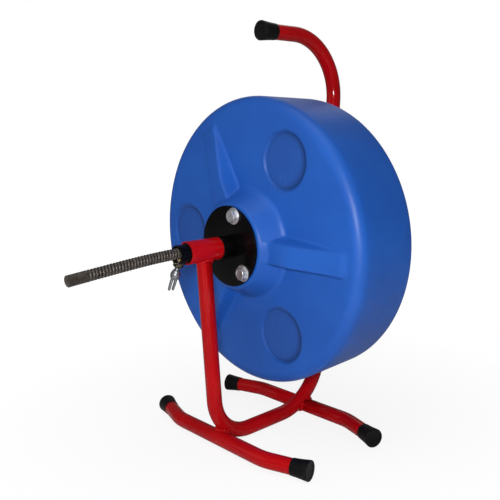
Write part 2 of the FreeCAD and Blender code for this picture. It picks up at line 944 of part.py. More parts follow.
def foot(label, reach, backward):
    """A cross foot whose ends are swept backward (1) or forward (-1), notched round the frame tube."""
    sweep = S.foot_sweep * backward
    bends = [(S.foot_bend, sweep), (S.foot_bend, sweep)]
    blank = bent_tube(f"{label}_blank", S.tube_radius, S.tube_radius - S.tube_wall, FOOT_RUNS, bends)
    end_reach = reach + end_run * sine(sweep)
    place(blank, (vector(-S.foot_half_length, end_reach, foot_level), turn("Z", -sweep)))
    keep(cut(label, blank, frame_rod), label, IN_FRAME)
    return end_reach, sweep


for side, reach, backward in (
    ("front", -front_upright + S.front_foot_inset, 1),
    ("rear", back_upright - S.back_foot_inset, -1),
):
    end_reach, sweep = foot(f"{side}_foot_tube", reach, backward)
    for hand, end, way in (
        ("left", -S.foot_half_length, 180 - sweep),
        ("right", S.foot_half_length, sweep),
    ):
        cap(
            f"{side}_{hand}_foot_cap",
            S.cap_length,
            foot_cap_radius,
            (vector(end, end_reach, foot_level), turn("Z", way)),
            (NO_SHIFT, turn("Y", 90)),
        )
cap(
    "handle_cap",
    S.handle_cap_length,
    S.tube_radius + S.handle_cap_flare,
    (vector(0, S.handle_end, handle_level), turn("X", 90)),
)


# ------------------------------------------------------------------------- straight run and free stretch

# Points chosen along the cable's middle line, in the frame's axes: inside the shaft it lies against the side
# opposite to the wing screw, and outside it sinks a little under its own weight.
RUN_ROUTE = ((0.61, 0, 2.01), (0.61, -112, 2.01), (0.52, -133, 1.64))
STRETCH_ROUTE = ((0.52, -133, 1.64), (0.38, -165, 1.08), (0.15, -232, -4.1), (0, -300, -10.2))


def cable(label, route):
    """The cable as a plain tube along straight runs joined by the largest arcs they allow."""
    corners = [FreeCAD.Vector(*point) for point in route]
    radius = float(sheet.get("cable_radius"))
    edges = []
    here = corners[0]
    for before, corner, after in zip(corners, corners[1:], corners[2:]):
        ahead = (corner - before).normalize()
        onward = (after - corner).normalize()
        half_turn = ahead.getAngle(onward) / 2
        reach = 0.45 * min(corner.distanceToPoint(before), corner.distanceToPoint(after))
        bend = reach / math.tan(half_turn)
        inward = (onward - ahead).normalize()
        middle = corner + inward * bend * (1 / math.cos(half_turn) - 1)
        into, out = corner - ahead * reach, corner + onward * reach
        edges += [Part.LineSegment(here, into).toShape(), Part.Arc(into, middle, out).toShape()]
        here = out
        print(f"{label}: bend radius {bend:.0f} mm")
    edges.append(Part.LineSegment(here, corners[-1]).toShape())
    path = Part.Wire(edges)
    start = Part.Circle(corners[0], corners[1] - corners[0], radius).toShape()
    shape = path.makePipeShell([Part.Wire(start)], True, True)
    expected = math.pi * radius**2 * path.Length
    if abs(shape.Volume - expected) > 0.01 * expected:
        raise RuntimeError(f"{label}: volume {shape.Volume:.0f} is not section x length {expected:.0f}")
    print(f"{label}: length {path.Length:.1f} mm")
    tube = doc.addObject("Part::Feature", label)
    tube.Shape = shape
    return tube


keep(cable("snake_run", RUN_ROUTE), "snake_run", IN_FRAME)
snake_stretch = keep(cable("snake_stretch", STRETCH_ROUTE), "snake_stretch", IN_FRAME)


# --------------------------------------------------------------------------------- origin, checks, files

doc.recompute()
whole = FreeCAD.BoundBox()
for piece in pieces:
    if piece is not snake_stretch:
        whole.add(piece.Shape.optimalBoundingBox(False))
origin_row = len(SIZES)
sheet.set(f"A{origin_row}", str(round((whole.YMin + whole.YMax) / 2, 3)))
doc.recompute()

failed = [item.Name for item in doc.Objects if {"Invalid", "Error"} & set(item.State)]
if failed:
    raise RuntimeError(f"features that failed: {failed}")
for piece in pieces:
    if piece.Shape.isNull() or not piece.Shape.isValid():
        raise RuntimeError(f"{piece.Label}: bad shape")

os.makedirs("parts", exist_ok=True)
for piece in pieces:
    piece.Shape.exportStep(f"parts/{piece.Label}.step")
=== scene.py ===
"""Looks of a hand-turned drum drain snake machine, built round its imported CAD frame.

Every size below is in metres. Pieces on the drum are worked out in the drum's own frame, whose Z axis points
to the front along the shaft and whose origin lies in the plane of the drum's front face, and are then turned
into the part's frame by one function.
"""

from __future__ import annotations

import json
import logging
import math
from dataclasses import dataclass, replace
from enum import Enum
from typing import Any, Callable, Sequence

import bmesh
import bpy
import numpy as np
from bpy.types import ColorRamp, Material, Mesh, NodeSocket, NodeTree, Object
from mathutils import Matrix, Vector

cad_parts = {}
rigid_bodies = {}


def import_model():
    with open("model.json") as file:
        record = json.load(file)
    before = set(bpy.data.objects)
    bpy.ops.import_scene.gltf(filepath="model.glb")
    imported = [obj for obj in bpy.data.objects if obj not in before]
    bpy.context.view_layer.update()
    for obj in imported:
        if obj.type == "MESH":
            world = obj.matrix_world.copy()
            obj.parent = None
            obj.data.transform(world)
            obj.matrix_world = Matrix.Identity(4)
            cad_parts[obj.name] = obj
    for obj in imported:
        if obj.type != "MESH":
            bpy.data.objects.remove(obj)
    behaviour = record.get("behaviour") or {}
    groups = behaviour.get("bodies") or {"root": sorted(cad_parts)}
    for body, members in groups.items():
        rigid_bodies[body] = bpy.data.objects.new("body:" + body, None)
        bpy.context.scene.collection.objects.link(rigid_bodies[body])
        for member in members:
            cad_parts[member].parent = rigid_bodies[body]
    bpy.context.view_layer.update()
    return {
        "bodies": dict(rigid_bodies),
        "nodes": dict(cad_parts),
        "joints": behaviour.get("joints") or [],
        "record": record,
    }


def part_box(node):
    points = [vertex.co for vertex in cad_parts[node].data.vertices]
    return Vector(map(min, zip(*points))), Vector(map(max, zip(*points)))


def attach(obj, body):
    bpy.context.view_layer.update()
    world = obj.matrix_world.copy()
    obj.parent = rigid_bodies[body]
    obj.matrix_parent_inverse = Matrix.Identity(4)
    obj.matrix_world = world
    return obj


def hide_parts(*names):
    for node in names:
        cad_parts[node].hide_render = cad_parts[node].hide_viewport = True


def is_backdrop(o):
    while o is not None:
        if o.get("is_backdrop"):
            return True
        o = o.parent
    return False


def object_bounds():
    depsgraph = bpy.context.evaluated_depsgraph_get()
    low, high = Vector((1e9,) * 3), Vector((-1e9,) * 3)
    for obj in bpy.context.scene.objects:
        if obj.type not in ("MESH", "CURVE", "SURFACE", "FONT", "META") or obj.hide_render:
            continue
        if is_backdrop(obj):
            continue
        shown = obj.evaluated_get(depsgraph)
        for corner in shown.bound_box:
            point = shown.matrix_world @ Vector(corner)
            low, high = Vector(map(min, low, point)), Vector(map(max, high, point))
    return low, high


log = logging.getLogger("scene")
Array = np.ndarray
Triple = tuple[float, float, float]

RIGHT, BACK, UP = np.eye(3)


# -------------------- shader maths


class Sock:
    """The output of a node, or a plain number, that arithmetic joins up with Math nodes."""

    def __init__(self, book: Book, source: Any) -> None:
        """Keeps the material that the value belongs to and the socket or number itself."""
        self.book = book
        self.source = source

    def __add__(self, other: Any) -> Sock:
        """The sum."""
        return self.book.maths("ADD", self, other)

    def __sub__(self, other: Any) -> Sock:
        """The difference."""
        return self.book.maths("SUBTRACT", self, other)

    def __mul__(self, other: Any) -> Sock:
        """The product."""
        return self.book.maths("MULTIPLY", self, other)

    def __rsub__(self, other: Any) -> Sock:
        """The difference, with the value on the right."""
        return self.book.maths("SUBTRACT", other, self)

    __radd__ = __add__
    __rmul__ = __mul__


class Book:
    """The node tree of one material."""

    def __init__(self, name: str) -> None:
        """Starts a material with only its output node.

        Args:
            name: the material's name.
        """
        self.material = bpy.data.materials.new(name)
        self.material.use_nodes = True
        self.tree = self.material.node_tree
        self.tree.nodes.clear()
        self.end = self.tree.nodes.new("ShaderNodeOutputMaterial")

    @classmethod
    def of_tree(cls, tree: NodeTree) -> Book:
        """A book over a node tree that already has its end, such as the world's.

        Args:
            tree: the node tree.

        Returns:
            The book, which has no material of its own.
        """
        book = cls.__new__(cls)
        book.tree = tree
        return book

    def add(self, kind: str, settings: dict[str, Any], inputs: dict[Any, Any], output: Any = 0) -> Sock:
        """Adds a node.

        Args:
            kind: the node's type, without the words ShaderNode.
            settings: its settings, set before its sockets.
            inputs: values or links of its sockets, by name or number.
            output: the name or number of the output that is returned.

        Returns:
            The chosen output.
        """
        node = self.tree.nodes.new(f"ShaderNode{kind}")
        for key, value in settings.items():
            if key == "stops":
                self._set_stops(node.color_ramp, value)
            else:
                setattr(node, key, value)
        for key, value in inputs.items():
            source = value.source if isinstance(value, Sock) else value
            if isinstance(source, NodeSocket):
                self.tree.links.new(source, node.inputs[key])
            else:
                node.inputs[key].default_value = source
        return Sock(self, node.outputs[output])

    @staticmethod
    def _set_stops(ramp: ColorRamp, stops: Sequence[tuple[float, float]]) -> None:
        """Sets a ramp's stops.

        Args:
            ramp: the ramp, which starts with two stops.
            stops: its (place, grey value) stops, two or more.
        """
        while len(ramp.elements) < len(stops):
            ramp.elements.new(0.5)
        for element, (place, grey) in zip(ramp.elements, stops):
            element.position = place
            element.color = (grey, grey, grey, 1)

    def maths(self, operation: str, *values: Any) -> Sock:
        """A Math node on one, two or three values."""
        return self.add("Math", {"operation": operation}, dict(enumerate(values)))

    def place(self) -> Sock:
        """The point's place in the part's frame."""
        return self.add("TexCoord", {}, {}, "Object")

    def vectors(self, operation: str, *values: Any, output: Any = 0) -> Sock:
        """A Vector Math node."""
        return self.add("VectorMath", {"operation": operation}, dict(enumerate(values)), output)

    def stretched(self, scale: Triple, shift: Triple = (0, 0, 0)) -> Sock:
        """The point's place, moved and then scaled along each axis."""
        return self.vectors("MULTIPLY", self.vectors("SUBTRACT", self.place(), shift), scale)

    def length(self, vector: Sock) -> Sock:
        """A vector's length."""
        return self.vectors("LENGTH", vector, output="Value")

    def off_line(self, point: Triple) -> Sock:
        """How far the point's place lies from the line along Y through another point."""
        return self.length(self.stretched((1, 0, 1), point))

    def noise(self, scale: float, detail: float = 2, rough: float = 0.5, at: Sock | None = None) -> Sock:
        """Noise from 0 to 1 with that many cells a metre, or on the given coordinates."""
        inputs = {"Vector": at or self.place(), "Scale": scale, "Detail": detail, "Roughness": rough}
        return self.add("TexNoise", {}, inputs, "Fac")

    def ramp(self, value: Sock, *stops: tuple[float, float]) -> Sock:
        """A value carried through (place, grey value) stops."""
        return self.add("ValToRGB", {"stops": stops}, {"Fac": value})

    def mixed(self, share: Any, first: Any, second: Any) -> Sock:
        """A colour between two colours."""
        sockets = {"Factor": share, 6: opaque(first), 7: opaque(second)}
        return self.add("Mix", {"data_type": "RGBA"}, sockets, 2)

    def bump(self, height: Sock, depth: float, under: Sock | None = None) -> Sock:
        """A normal from a height.

        Args:
            height: the height, from 0 to 1.
            depth: what the height's full range stands for, in metres.
            under: the normal that it is laid over, if there is one.

        Returns:
            The normal.
        """
        inputs: dict[str, Any] = {"Height": height, "Distance": depth, "Strength": 1.0}
        if under is not None:
            inputs["Normal"] = under
        return self.add("Bump", {}, inputs)

    def finish(self, **inputs: Any) -> Material:
        """Ends the material in a Principled shader.

        Args:
            inputs: its sockets by name, with underscores in place of spaces.

        Returns:
            The finished material.
        """
        sockets = {key.replace("_", " "): opaque(value) for key, value in inputs.items()}
        shader = self.add("BsdfPrincipled", {}, sockets)
        self.tree.links.new(shader.source, self.end.inputs["Surface"])
        return self.material


def opaque(value: Any) -> Any:
    """A three-part colour with its alpha added; anything else as it is."""
    return (*value, 1.0) if isinstance(value, tuple) and len(value) == 3 else value


# -------------------- finishes


@dataclass(frozen=True)
class RedPaint:
    """Gloss enamel sprayed on tube: faint orange peel, slow changes of shade and dust in its gloss."""

    shade: Triple = (0.43, 0.003, 0.005)
    worn: Triple = (0.35, 0.002, 0.004)
    gloss: float = 0.11

    def material(self) -> Material:
        """Lays fine peel over the paint; slow noise changes its shade and finer noise is the dust.

        Returns:
            The material.
        """
        book = Book("red_paint")
        shade = book.ramp(book.noise(14, 3, 0.5), (0.3, 0.0), (0.7, 1.0))
        dust = book.ramp(book.noise(120, 3, 0.6), (0.5, 0.0), (0.85, 1.0))
        peel = book.bump(book.noise(380, 2), 0.000012)
        return book.finish(
            Base_Color=book.mixed(shade, self.worn, self.shade),
            Roughness=dust * 0.08 + self.gloss,
            Specular_IOR_Level=0.15,
            Normal=peel,
        )


@dataclass(frozen=True)
class BluePlastic:
    """Rotomoulded polyethylene: waxy, with a fine grain, cloudy shade and pale scuffs, and painted shade and
    shadow in its recesses.
    """

    recesses: Sequence[Triple]
    recess_radius: float = 0.0398
    shade: Triple = (0.012, 0.100, 0.45)
    deep: Triple = (0.009, 0.076, 0.37)
    # Painted shade: the recess floors are mixed towards this darker blue.
    painted_recess_shade: Triple = (0.016, 0.064, 0.27)
    scuff: Triple = (0.08, 0.22, 0.56)
    # Painted shadow: this dark blue fills a crescent inside each recess's rim; the offset below moves the
    # circle that cuts the crescent.
    painted_shadow: Triple = (0.005, 0.032, 0.15)
    lee: Triple = (-0.0042, 0, 0.0006)
    gloss: float = 0.40

    def _away(self, book: Book, shift: Triple = (0, 0, 0)) -> Sock:
        """The distance from the nearest recess's axis, or from a line beside it."""
        first, second, third = (book.off_line(tuple(np.add(centre, shift))) for centre in self.recesses)
        return book.maths("MINIMUM", book.maths("MINIMUM", first, second), third)

    def material(self) -> Material:
        """Lays scuffs over the sheet; painted shade darkens the recess floors, and a painted shadow fills a
        crescent inside each recess's rim, where a copy of the recess's circle moved sideways does not reach.

        Returns:
            The material.
        """
        book = Book("blue_plastic")
        cloud = book.ramp(book.noise(8, 3, 0.55), (0.3, 0.0), (0.7, 1.0))
        streaks = book.noise(1, 3, 0.6, book.stretched((240, 240, 24)))
        patches = book.ramp(book.noise(14, 2), (0.52, 0.0), (0.68, 1.0))
        scuffs = book.ramp(streaks, (0.60, 0.0), (0.72, 1.0)) * patches
        grain = book.noise(800, 3, 0.6)
        ripple = book.bump(book.noise(26, 2), 0.0009)
        away = self._away(book)
        hollow = book.maths("LESS_THAN", away, self.recess_radius)
        # Painted shadow: a crescent inside each recess's rim, on the side away from the offset.
        corner = book.ramp(self._away(book, self.lee), (0.0290, 0.0), (0.0372, 0.22), (0.0405, 1.0))
        shadow_crescent = corner * book.ramp(away, (0.0418, 1.0), (0.0434, 0.0))
        # Painted shade darkens the recess floors, and the next line lays the painted shadow crescent over
        # them.
        plain = book.mixed(hollow * 0.5, book.mixed(cloud, self.deep, self.shade), self.painted_recess_shade)
        sheet = book.mixed(shadow_crescent * 0.9, plain, self.painted_shadow)
        return book.finish(
            Base_Color=book.mixed(scuffs * 0.15, sheet, self.scuff),
            Roughness=grain * 0.08 + scuffs * 0.12 + self.gloss,
            Specular_IOR_Level=0.30,
            Normal=book.bump(grain, 0.00003, ripple),
        )


@dataclass(frozen=True)
class BlackRubber:
    """Moulded rubber: matte, lightly pitted, greyed by dust."""

    name: str = "black_rubber"
    shade: Triple = (0.004, 0.004, 0.0045)
    dust: Triple = (0.013, 0.0125, 0.012)
    gloss: float = 0.42

    def material(self) -> Material:
        """Greys the rubber with patches of dust and pits it all over.

        Returns:
            The material.
        """
        book = Book(self.name)
        dusty = book.ramp(book.noise(60, 4, 0.65), (0.45, 0.0), (0.75, 1.0))
        pits = book.noise(1100, 2)
        return book.finish(
            Base_Color=book.mixed(dusty * 0.6, self.shade, self.dust),
            Roughness=dusty * 0.15 + self.gloss,
            Specular_IOR_Level=0.10,
            Normal=book.bump(pits, 0.00003),
        )


@dataclass(frozen=True)
class TurnedBlackSteel:
    """Steel turned on a lathe and painted black: its tool rings show through the gloss."""

    axis: Triple
    shade: Triple = (0.002, 0.002, 0.0023)
    worn: Triple = (0.012, 0.012, 0.013)
    gloss: float = 0.20
    ring_rate: float = 5200

    def material(self) -> Material:
        """Turns rings into the steel: a sine of the distance from the drum's axis and along it.

        Returns:
            The material.
        """
        book = Book("black_steel")
        along = book.add("SeparateXYZ", {}, {0: book.place()}, "Y")
        rings = book.maths("SINE", (book.off_line(self.axis) + along) * self.ring_rate)
        wear = book.ramp(book.noise(150, 4, 0.7), (0.6, 0.0), (0.78, 1.0))
        return book.finish(
            Base_Color=book.mixed(wear * 0.35, self.shade, self.worn),
            Roughness=wear * 0.2 + self.gloss,
            Specular_IOR_Level=0.09,
            Normal=book.bump(rings, 0.0000025, book.bump(book.noise(500, 2), 0.000006)),
        )


@dataclass(frozen=True)
class Plated:
    """Plated steel: bright, with cloudy passivation and fine dents."""

    name: str
    shade: Triple
    stain: Triple
    gloss: float
    stained: float = 0.5

    def material(self) -> Material:
        """Clouds the plating with stain and dents it finely.

        Returns:
            The material.
        """
        book = Book(self.name)
        cloud = book.ramp(book.noise(210, 4, 0.65), (0.38, 0.0), (0.7, 1.0))
        dents = book.noise(600, 3, 0.6)
        return book.finish(
            Base_Color=book.mixed(cloud * self.stained, self.shade, self.stain),
            Metallic=1.0,
            Roughness=cloud * 0.16 + self.gloss,
            Normal=book.bump(dents, 0.000012),
        )


@dataclass(frozen=True)
class OiledSpring:
    """Dark oil-tempered spring wire with brown rust bloom and bright rubbed crowns along each turn."""

    dark: Triple = (0.035, 0.030, 0.026)
    rust: Triple = (0.10, 0.075, 0.05)
    rubbed: Triple = (0.20, 0.185, 0.17)

    def material(self) -> Material:
        """Rusts the wire and rubs its crowns; its UV runs round the section in U, the crown at one half.

        Returns:
            The material.
        """
        book = Book("oiled_spring")
        around = book.add("SeparateXYZ", {}, {0: book.add("UVMap", {}, {})}, "X")
        crown = book.ramp(around, (0.30, 0.0), (0.5, 1.0), (0.70, 0.0))
        bloom = book.ramp(book.noise(120, 4, 0.7), (0.42, 0.0), (0.66, 1.0))
        rubbing = crown * book.ramp(book.noise(340, 3, 0.6), (0.35, 0.0), (0.65, 1.0))
        body = book.mixed(bloom * 0.8, self.dark, self.rust)
        return book.finish(
            Base_Color=book.mixed(rubbing * 0.55, body, self.rubbed),
            Metallic=0.5,
            Roughness=bloom * 0.25 + 0.34,
            Normal=book.bump(book.noise(1500, 3, 0.6), 0.00008),
        )


class Slot(Enum):
    """The record's material slots."""

    RED = "red_paint"
    CAP = "cap_rubber"
    BUSH = "bush_plastic"
    DRUM = "drum_plastic"
    BLACK = "black_steel"
    ZINC = "zinc_steel"
    YELLOW = "yellow_zinc"
    WING = "wing_zinc"
    BRASS = "pad_brass"
    CABLE = "cable_steel"


class Wardrobe:
    """Every slot's material, made once."""

    def __init__(self, axis: Triple, recesses: Sequence[Triple]) -> None:
        """Builds the materials.

        Args:
            axis: a point on the drum's axis.
            recesses: a point on the axis of each of the drum's recesses.
        """
        self.materials = {
            Slot.RED: RedPaint().material(),
            Slot.CAP: BlackRubber().material(),
            Slot.BUSH: BlackRubber("bush_plastic", gloss=0.35).material(),
            Slot.DRUM: BluePlastic(recesses).material(),
            Slot.BLACK: TurnedBlackSteel(axis).material(),
            Slot.ZINC: Plated("bright_zinc", (0.72, 0.73, 0.76), (0.42, 0.42, 0.42), gloss=0.3).material(),
            # The nut's zinc is drawn nearly black, with little of its yellow left.
            Slot.YELLOW: Plated(
                "yellow_zinc", (0.11, 0.10, 0.065), (0.012, 0.011, 0.009), gloss=0.26, stained=0.92
            ).material(),
            Slot.WING: Plated("cast_zinc", (0.30, 0.31, 0.33), (0.10, 0.10, 0.10), gloss=0.36).material(),
            Slot.BRASS: Plated("brass", (0.74, 0.52, 0.2), (0.4, 0.26, 0.1), gloss=0.3).material(),
            Slot.CABLE: OiledSpring().material(),
        }

    def dress(self, piece: Object, slot: Slot) -> None:
        """Gives a piece the material of a slot.

        Args:
            piece: the object.
            slot: its slot in the record.
        """
        piece.data.materials.clear()
        piece.data.materials.append(self.materials[slot])

    def dress_nodes(self, frame: dict[str, Any]) -> None:
        """Gives every carried-over CAD node the material of its slot in the record.
        """
        for part in frame["record"]["subparts"]:
            node = frame["nodes"][part["node"]]
            for holder in node.material_slots:
                holder.material = self.materials[Slot(part["material_slot"])]


# -------------------- shapes


def unit(vectors: Array) -> Array:
    """Each vector divided by its length."""
    return vectors / np.linalg.norm(vectors, axis=-1, keepdims=True)


def turns(steps: int) -> Array:
    """Evenly spaced angles, once round."""
    return np.linspace(0, 2 * np.pi, steps, endpoint=False)


def hexagon(turn: Array, flats: float) -> Array:
    """A hexagon's radius: half its flats over the cosine of the turn from the nearest flat's middle."""
    part = np.pi / 3
    return flats / 2 / np.cos((turn + part / 2) % part - part / 2)


def arc_lengths(line: Array) -> Array:
    """The length along a line from its start to each of its points."""
    return np.concatenate([[0], np.cumsum(np.linalg.norm(np.diff(line, axis=0), axis=1))])


def sampled(line: Array, places: Array) -> Array:
    """The points of a line at the given lengths along it."""
    lengths = arc_lengths(line)
    return np.stack([np.interp(places, lengths, line[:, i]) for i in range(line.shape[1])], -1)


def fade(value: Array, start: float, end: float) -> Array:
    """A smooth change from 0 at start to 1 at end: three times the share's square less twice its cube."""
    share = np.clip((value - start) / (end - start), 0, 1)
    return share * share * (3 - 2 * share)


def higher(first: Any, second: Any, width: float) -> Array:
    """The larger of two heights, with a fillet where they cross.

    Within the width of each other they gain the square of the width less their difference, over four widths.
    """
    overlap = np.maximum(width - np.abs(first - second), 0)
    return np.maximum(first, second) + overlap * overlap / (4 * width)


def lower(first: Any, second: Any, width: float) -> Array:
    """The smaller of two heights, with a rounded edge where they cross."""
    return -higher(-first, -second, width)


@dataclass
class Shape:
    """Points and faces that are to become one mesh.

    Face after face, each corner has the number of its point and a UV, and each face has its count of sides.
    """

    points: Array
    corners: Array
    uvs: Array
    sides: Array

    def moved(self, change: Callable[[Array], Array]) -> Shape:
        """The same faces on changed points."""
        return replace(self, points=change(self.points))


def joined(*shapes: Shape) -> Shape:
    """Several closed shapes as one.

    Args:
        shapes: the shapes, which stay unconnected.

    Returns:
        Their points and faces together.
    """
    starts = np.cumsum([0] + [len(shape.points) for shape in shapes])
    return Shape(
        points=np.concatenate([shape.points for shape in shapes]),
        corners=np.concatenate([shape.corners + start for shape, start in zip(shapes, starts)]),
        uvs=np.concatenate([shape.uvs for shape in shapes]),
        sides=np.concatenate([shape.sides for shape in shapes]),
    )


def skin(points: Array, ring: bool = False) -> Shape:
    """A closed surface over a grid of points whose columns join round.

    Args:
        points: rows by columns by three coordinates.
        ring: True if the last row joins the first; otherwise a fan about its middle closes each end row.

    Returns:
        The surface, whose UV runs round the columns and along the rows.
    """
    rows, columns = points.shape[:2]
    column = np.arange(columns)[None]
    row = np.arange(rows if ring else rows - 1)[:, None]
    down = np.stack(np.broadcast_arrays(row, row + 0 * column, row + 1, row + 1), -1)
    across = np.stack(np.broadcast_arrays(column + 0 * row, column + 1, column + 1, column), -1)
    corners = ((down % rows) * columns + across % columns).ravel()
    uvs = np.stack([across / columns, down / rows], -1).reshape(-1, 2)
    sides = np.full(len(corners) // 4, 4)
    flat = points.reshape(-1, 3)
    if not ring:
        here, beside = column[0], (column[0] + 1) % columns
        last = (rows - 1) * columns
        first_fan = np.stack([here * 0 + len(flat), beside, here], -1)
        last_fan = np.stack([here * 0 + len(flat) + 1, here + last, beside + last], -1)
        corners = np.concatenate([corners, first_fan.ravel(), last_fan.ravel()])
        uvs = np.concatenate([uvs, np.full((6 * columns, 2), 0.5)])
        sides = np.concatenate([sides, np.full(2 * columns, 3)])
        flat = np.concatenate([flat, points[0].mean(0)[None], points[-1].mean(0)[None]])
    return Shape(flat, corners, uvs, sides)


def turned(profile: Any, columns: int = 96, ring: bool = False) -> Shape:
    """A profile turned about the Z axis: radius times cosine and sine of the turn, at the profile's height.

    Args:
        profile: (radius, height) rows, each a number or one number for each step round the axis.
        columns: the steps round the axis.
        ring: True if the profile closes on itself, as a pipe's does.

    Returns:
        The closed surface.
    """
    turn = turns(columns)
    reach, height = (np.stack([row[i] + 0 * turn for row in profile]) for i in (0, 1))
    return skin(np.stack([reach * np.cos(turn), reach * np.sin(turn), height], -1), ring)


def rounded(corners: Any, radius: Any, steps: int = 5, ring: bool = True) -> Array:
    """A profile whose corners are curves of the second degree between points short of each corner.

    Args:
        corners: the profile's corners.
        radius: how far short of the corners the curves start, one for all or one for each.
        steps: the points on each curve.
        ring: True if the profile closes on itself; otherwise its end points stay.

    Returns:
        The rounded profile's points.
    """
    corners = np.asarray(corners, float)
    before, after = np.roll(corners, 1, 0) - corners, np.roll(corners, -1, 0) - corners
    gap = [np.linalg.norm(way, axis=1) for way in (before, after)]
    size = np.minimum(np.broadcast_to(radius, len(corners)), 0.49 * np.minimum(*gap))[:, None, None]
    share = np.linspace(0, 1, steps)[None, :, None]
    start, end = unit(before)[:, None] * size, unit(after)[:, None] * size
    curve = corners[:, None] + (1 - share) ** 2 * start + share**2 * end
    if ring:
        return curve.reshape(-1, corners.shape[1])
    return np.concatenate([corners[:1], curve[1:-1].reshape(-1, corners.shape[1]), corners[-1:]])


def box(inner: float, outer: float, low: float, high: float) -> list[tuple[float, float]]:
    """The corners of a plain ring's profile."""
    return [(inner, low), (outer, low), (outer, high), (inner, high)]


def swept(path: Array, radius: Any, side: Any, columns: int = 40, ring: bool = False) -> Shape:
    """A round section carried along a path.

    Each ring is the path's point plus the radius times the cosine of the turn along the side direction, made
    square to the path, and the sine of it along the direction square to both. The turn starts opposite the
    side direction, so that the middle of U lies on that side.

    Args:
        path: the path's points.
        radius: the section's radius, one for all or one for each point.
        side: a direction across the path, one for all or one for each point.
        columns: the steps round the section.
        ring: True if the path closes on itself.

    Returns:
        The closed surface.
    """
    ahead = unit(np.roll(path, -1, 0) - np.roll(path, 1, 0) if ring else np.gradient(path, axis=0))
    side = np.broadcast_to(np.asarray(side, float), path.shape)
    out = unit(side - (side * ahead).sum(-1, keepdims=True) * ahead)[:, None]
    beside = np.cross(ahead[:, None], out)
    turn = np.linspace(-np.pi, np.pi, columns, endpoint=False)[None, :, None]
    reach = np.broadcast_to(radius, len(path))[:, None, None]
    return skin(path[:, None] + reach * (np.cos(turn) * out + np.sin(turn) * beside), ring)


def make(name: str, shape: Shape, crisp: float = 40) -> Object:
    """Puts a shape in the scene as a smooth-shaded object.

    Args:
        name: the object's name.
        shape: its points and faces, in the part's frame.
        crisp: the angle in degrees from which an edge stays sharp.

    Returns:
        The object, whose faces are turned round if the volume inside comes out negative.
    """
    mesh = bpy.data.meshes.new(name)
    for rows, what, values in (
        (mesh.vertices, "co", shape.points.astype(np.float32)),
        (mesh.loops, "vertex_index", shape.corners.astype(np.int32)),
        (mesh.polygons, "loop_start", (np.cumsum(shape.sides) - shape.sides).astype(np.int32)),
    ):
        rows.add(len(values))
        rows.foreach_set(what, values.ravel())
    mesh.update(calc_edges=True)
    mesh.uv_layers.new(name="UVMap").uv.foreach_set("vector", shape.uvs.astype(np.float32).ravel())
    mesh.calc_loop_triangles()
    corner = np.empty(len(mesh.loop_triangles) * 3, np.int32)
    mesh.loop_triangles.foreach_get("vertices", corner)
    first, second, third = shape.points[corner.reshape(-1, 3)].transpose(1, 0, 2)
    if (first * np.cross(second, third)).sum() < 0:
        mesh.flip_normals()
    return show(name, mesh, crisp)


def show(name: str, mesh: Mesh, crisp: float) -> Object:
    """Shades a mesh smooth between its sharp edges and puts it in the scene.

    Args:
        name: the object's name.
        mesh: its mesh.
        crisp: the angle in degrees from which an edge stays sharp.

    Returns:
        The object.
    """
    mesh.shade_smooth()
    mesh.set_sharp_from_angle(angle=math.radians(crisp))
    return stand(name, mesh)


def stand(name: str, data: Any) -> Object:
    """Puts an object in the scene.

    Args:
        name: its name.
        data: its mesh, lamp or camera.

    Returns:
        The object.
    """
    thing = bpy.data.objects.new(name, data)
    bpy.context.scene.collection.objects.link(thing)
    return thing


def read(vertices: Any, what: str = "co") -> Array:
    """What a mesh's vertices hold, as rows of three numbers.

    Args:
        vertices: the vertices.
        what: co for their places or normal for their normals.

    Returns:
        One row for each vertex.
    """
    values = np.empty(len(vertices) * 3)
    vertices.foreach_get(what, values)
    return values.reshape(-1, 3)


def move(piece: Object, points: Array) -> None:
    """Puts a piece's vertices at new places."""
    piece.data.vertices.foreach_set("co", points.ravel())
    piece.data.update()


def smooth_copy(name: str, node: Object, crisp: float = 30) -> Object:
    """A copy of a CAD node with its loose triangles joined up, so that its round faces shade smoothly.

    Args:
        name: the copy's name.
        node: the CAD node.
        crisp: the angle in degrees from which an edge stays sharp.

    Returns:
        The copy.
    """
    work = bmesh.new()
    work.from_mesh(node.data)
    bmesh.ops.remove_doubles(work, verts=work.verts, dist=1e-6)
    mesh = bpy.data.meshes.new(name)
    work.to_mesh(mesh)
    work.free()
    return show(name, mesh, crisp)


@dataclass(frozen=True)
class Datum:
    """Where the drum's frame lies: its front face's Y, its axis's height and its turn in degrees."""

    front: float
    height: float
    turn: float = -3.7

    @property
    def axis(self) -> Triple:
        """The point where the drum's axis meets its front face."""
        return (0.0, self.front, self.height)

    def still(self, points: Array) -> Array:
        """Points in the drum's frame, unturned, carried into the part's frame: Z forwards becomes -Y."""
        return np.stack([points[..., 0], self.front - points[..., 2], self.height + points[..., 1]], -1)

    def on_drum(self, points: Array) -> Array:
        """Points in the drum's frame, turned with it and carried into the part's frame."""
        return self.still(spun(points, self.turn))

    def side(self, points: Array) -> Array:
        """Points given by (x, depth behind the front face, height above the axis)."""
        return points + np.array(self.axis)


def spun(points: Array, degrees: float) -> Array:
    """Points turned about the Z axis: x cos - y sin, and x sin + y cos.

    Args:
        points: the points.
        degrees: the turn, from X towards Y.

    Returns:
        The turned points.
    """
    cosine, sine = math.cos(math.radians(degrees)), math.sin(math.radians(degrees))
    x, y = points[..., 0], points[..., 1]
    return np.stack([x * cosine - y * sine, x * sine + y * cosine, points[..., 2]], -1)


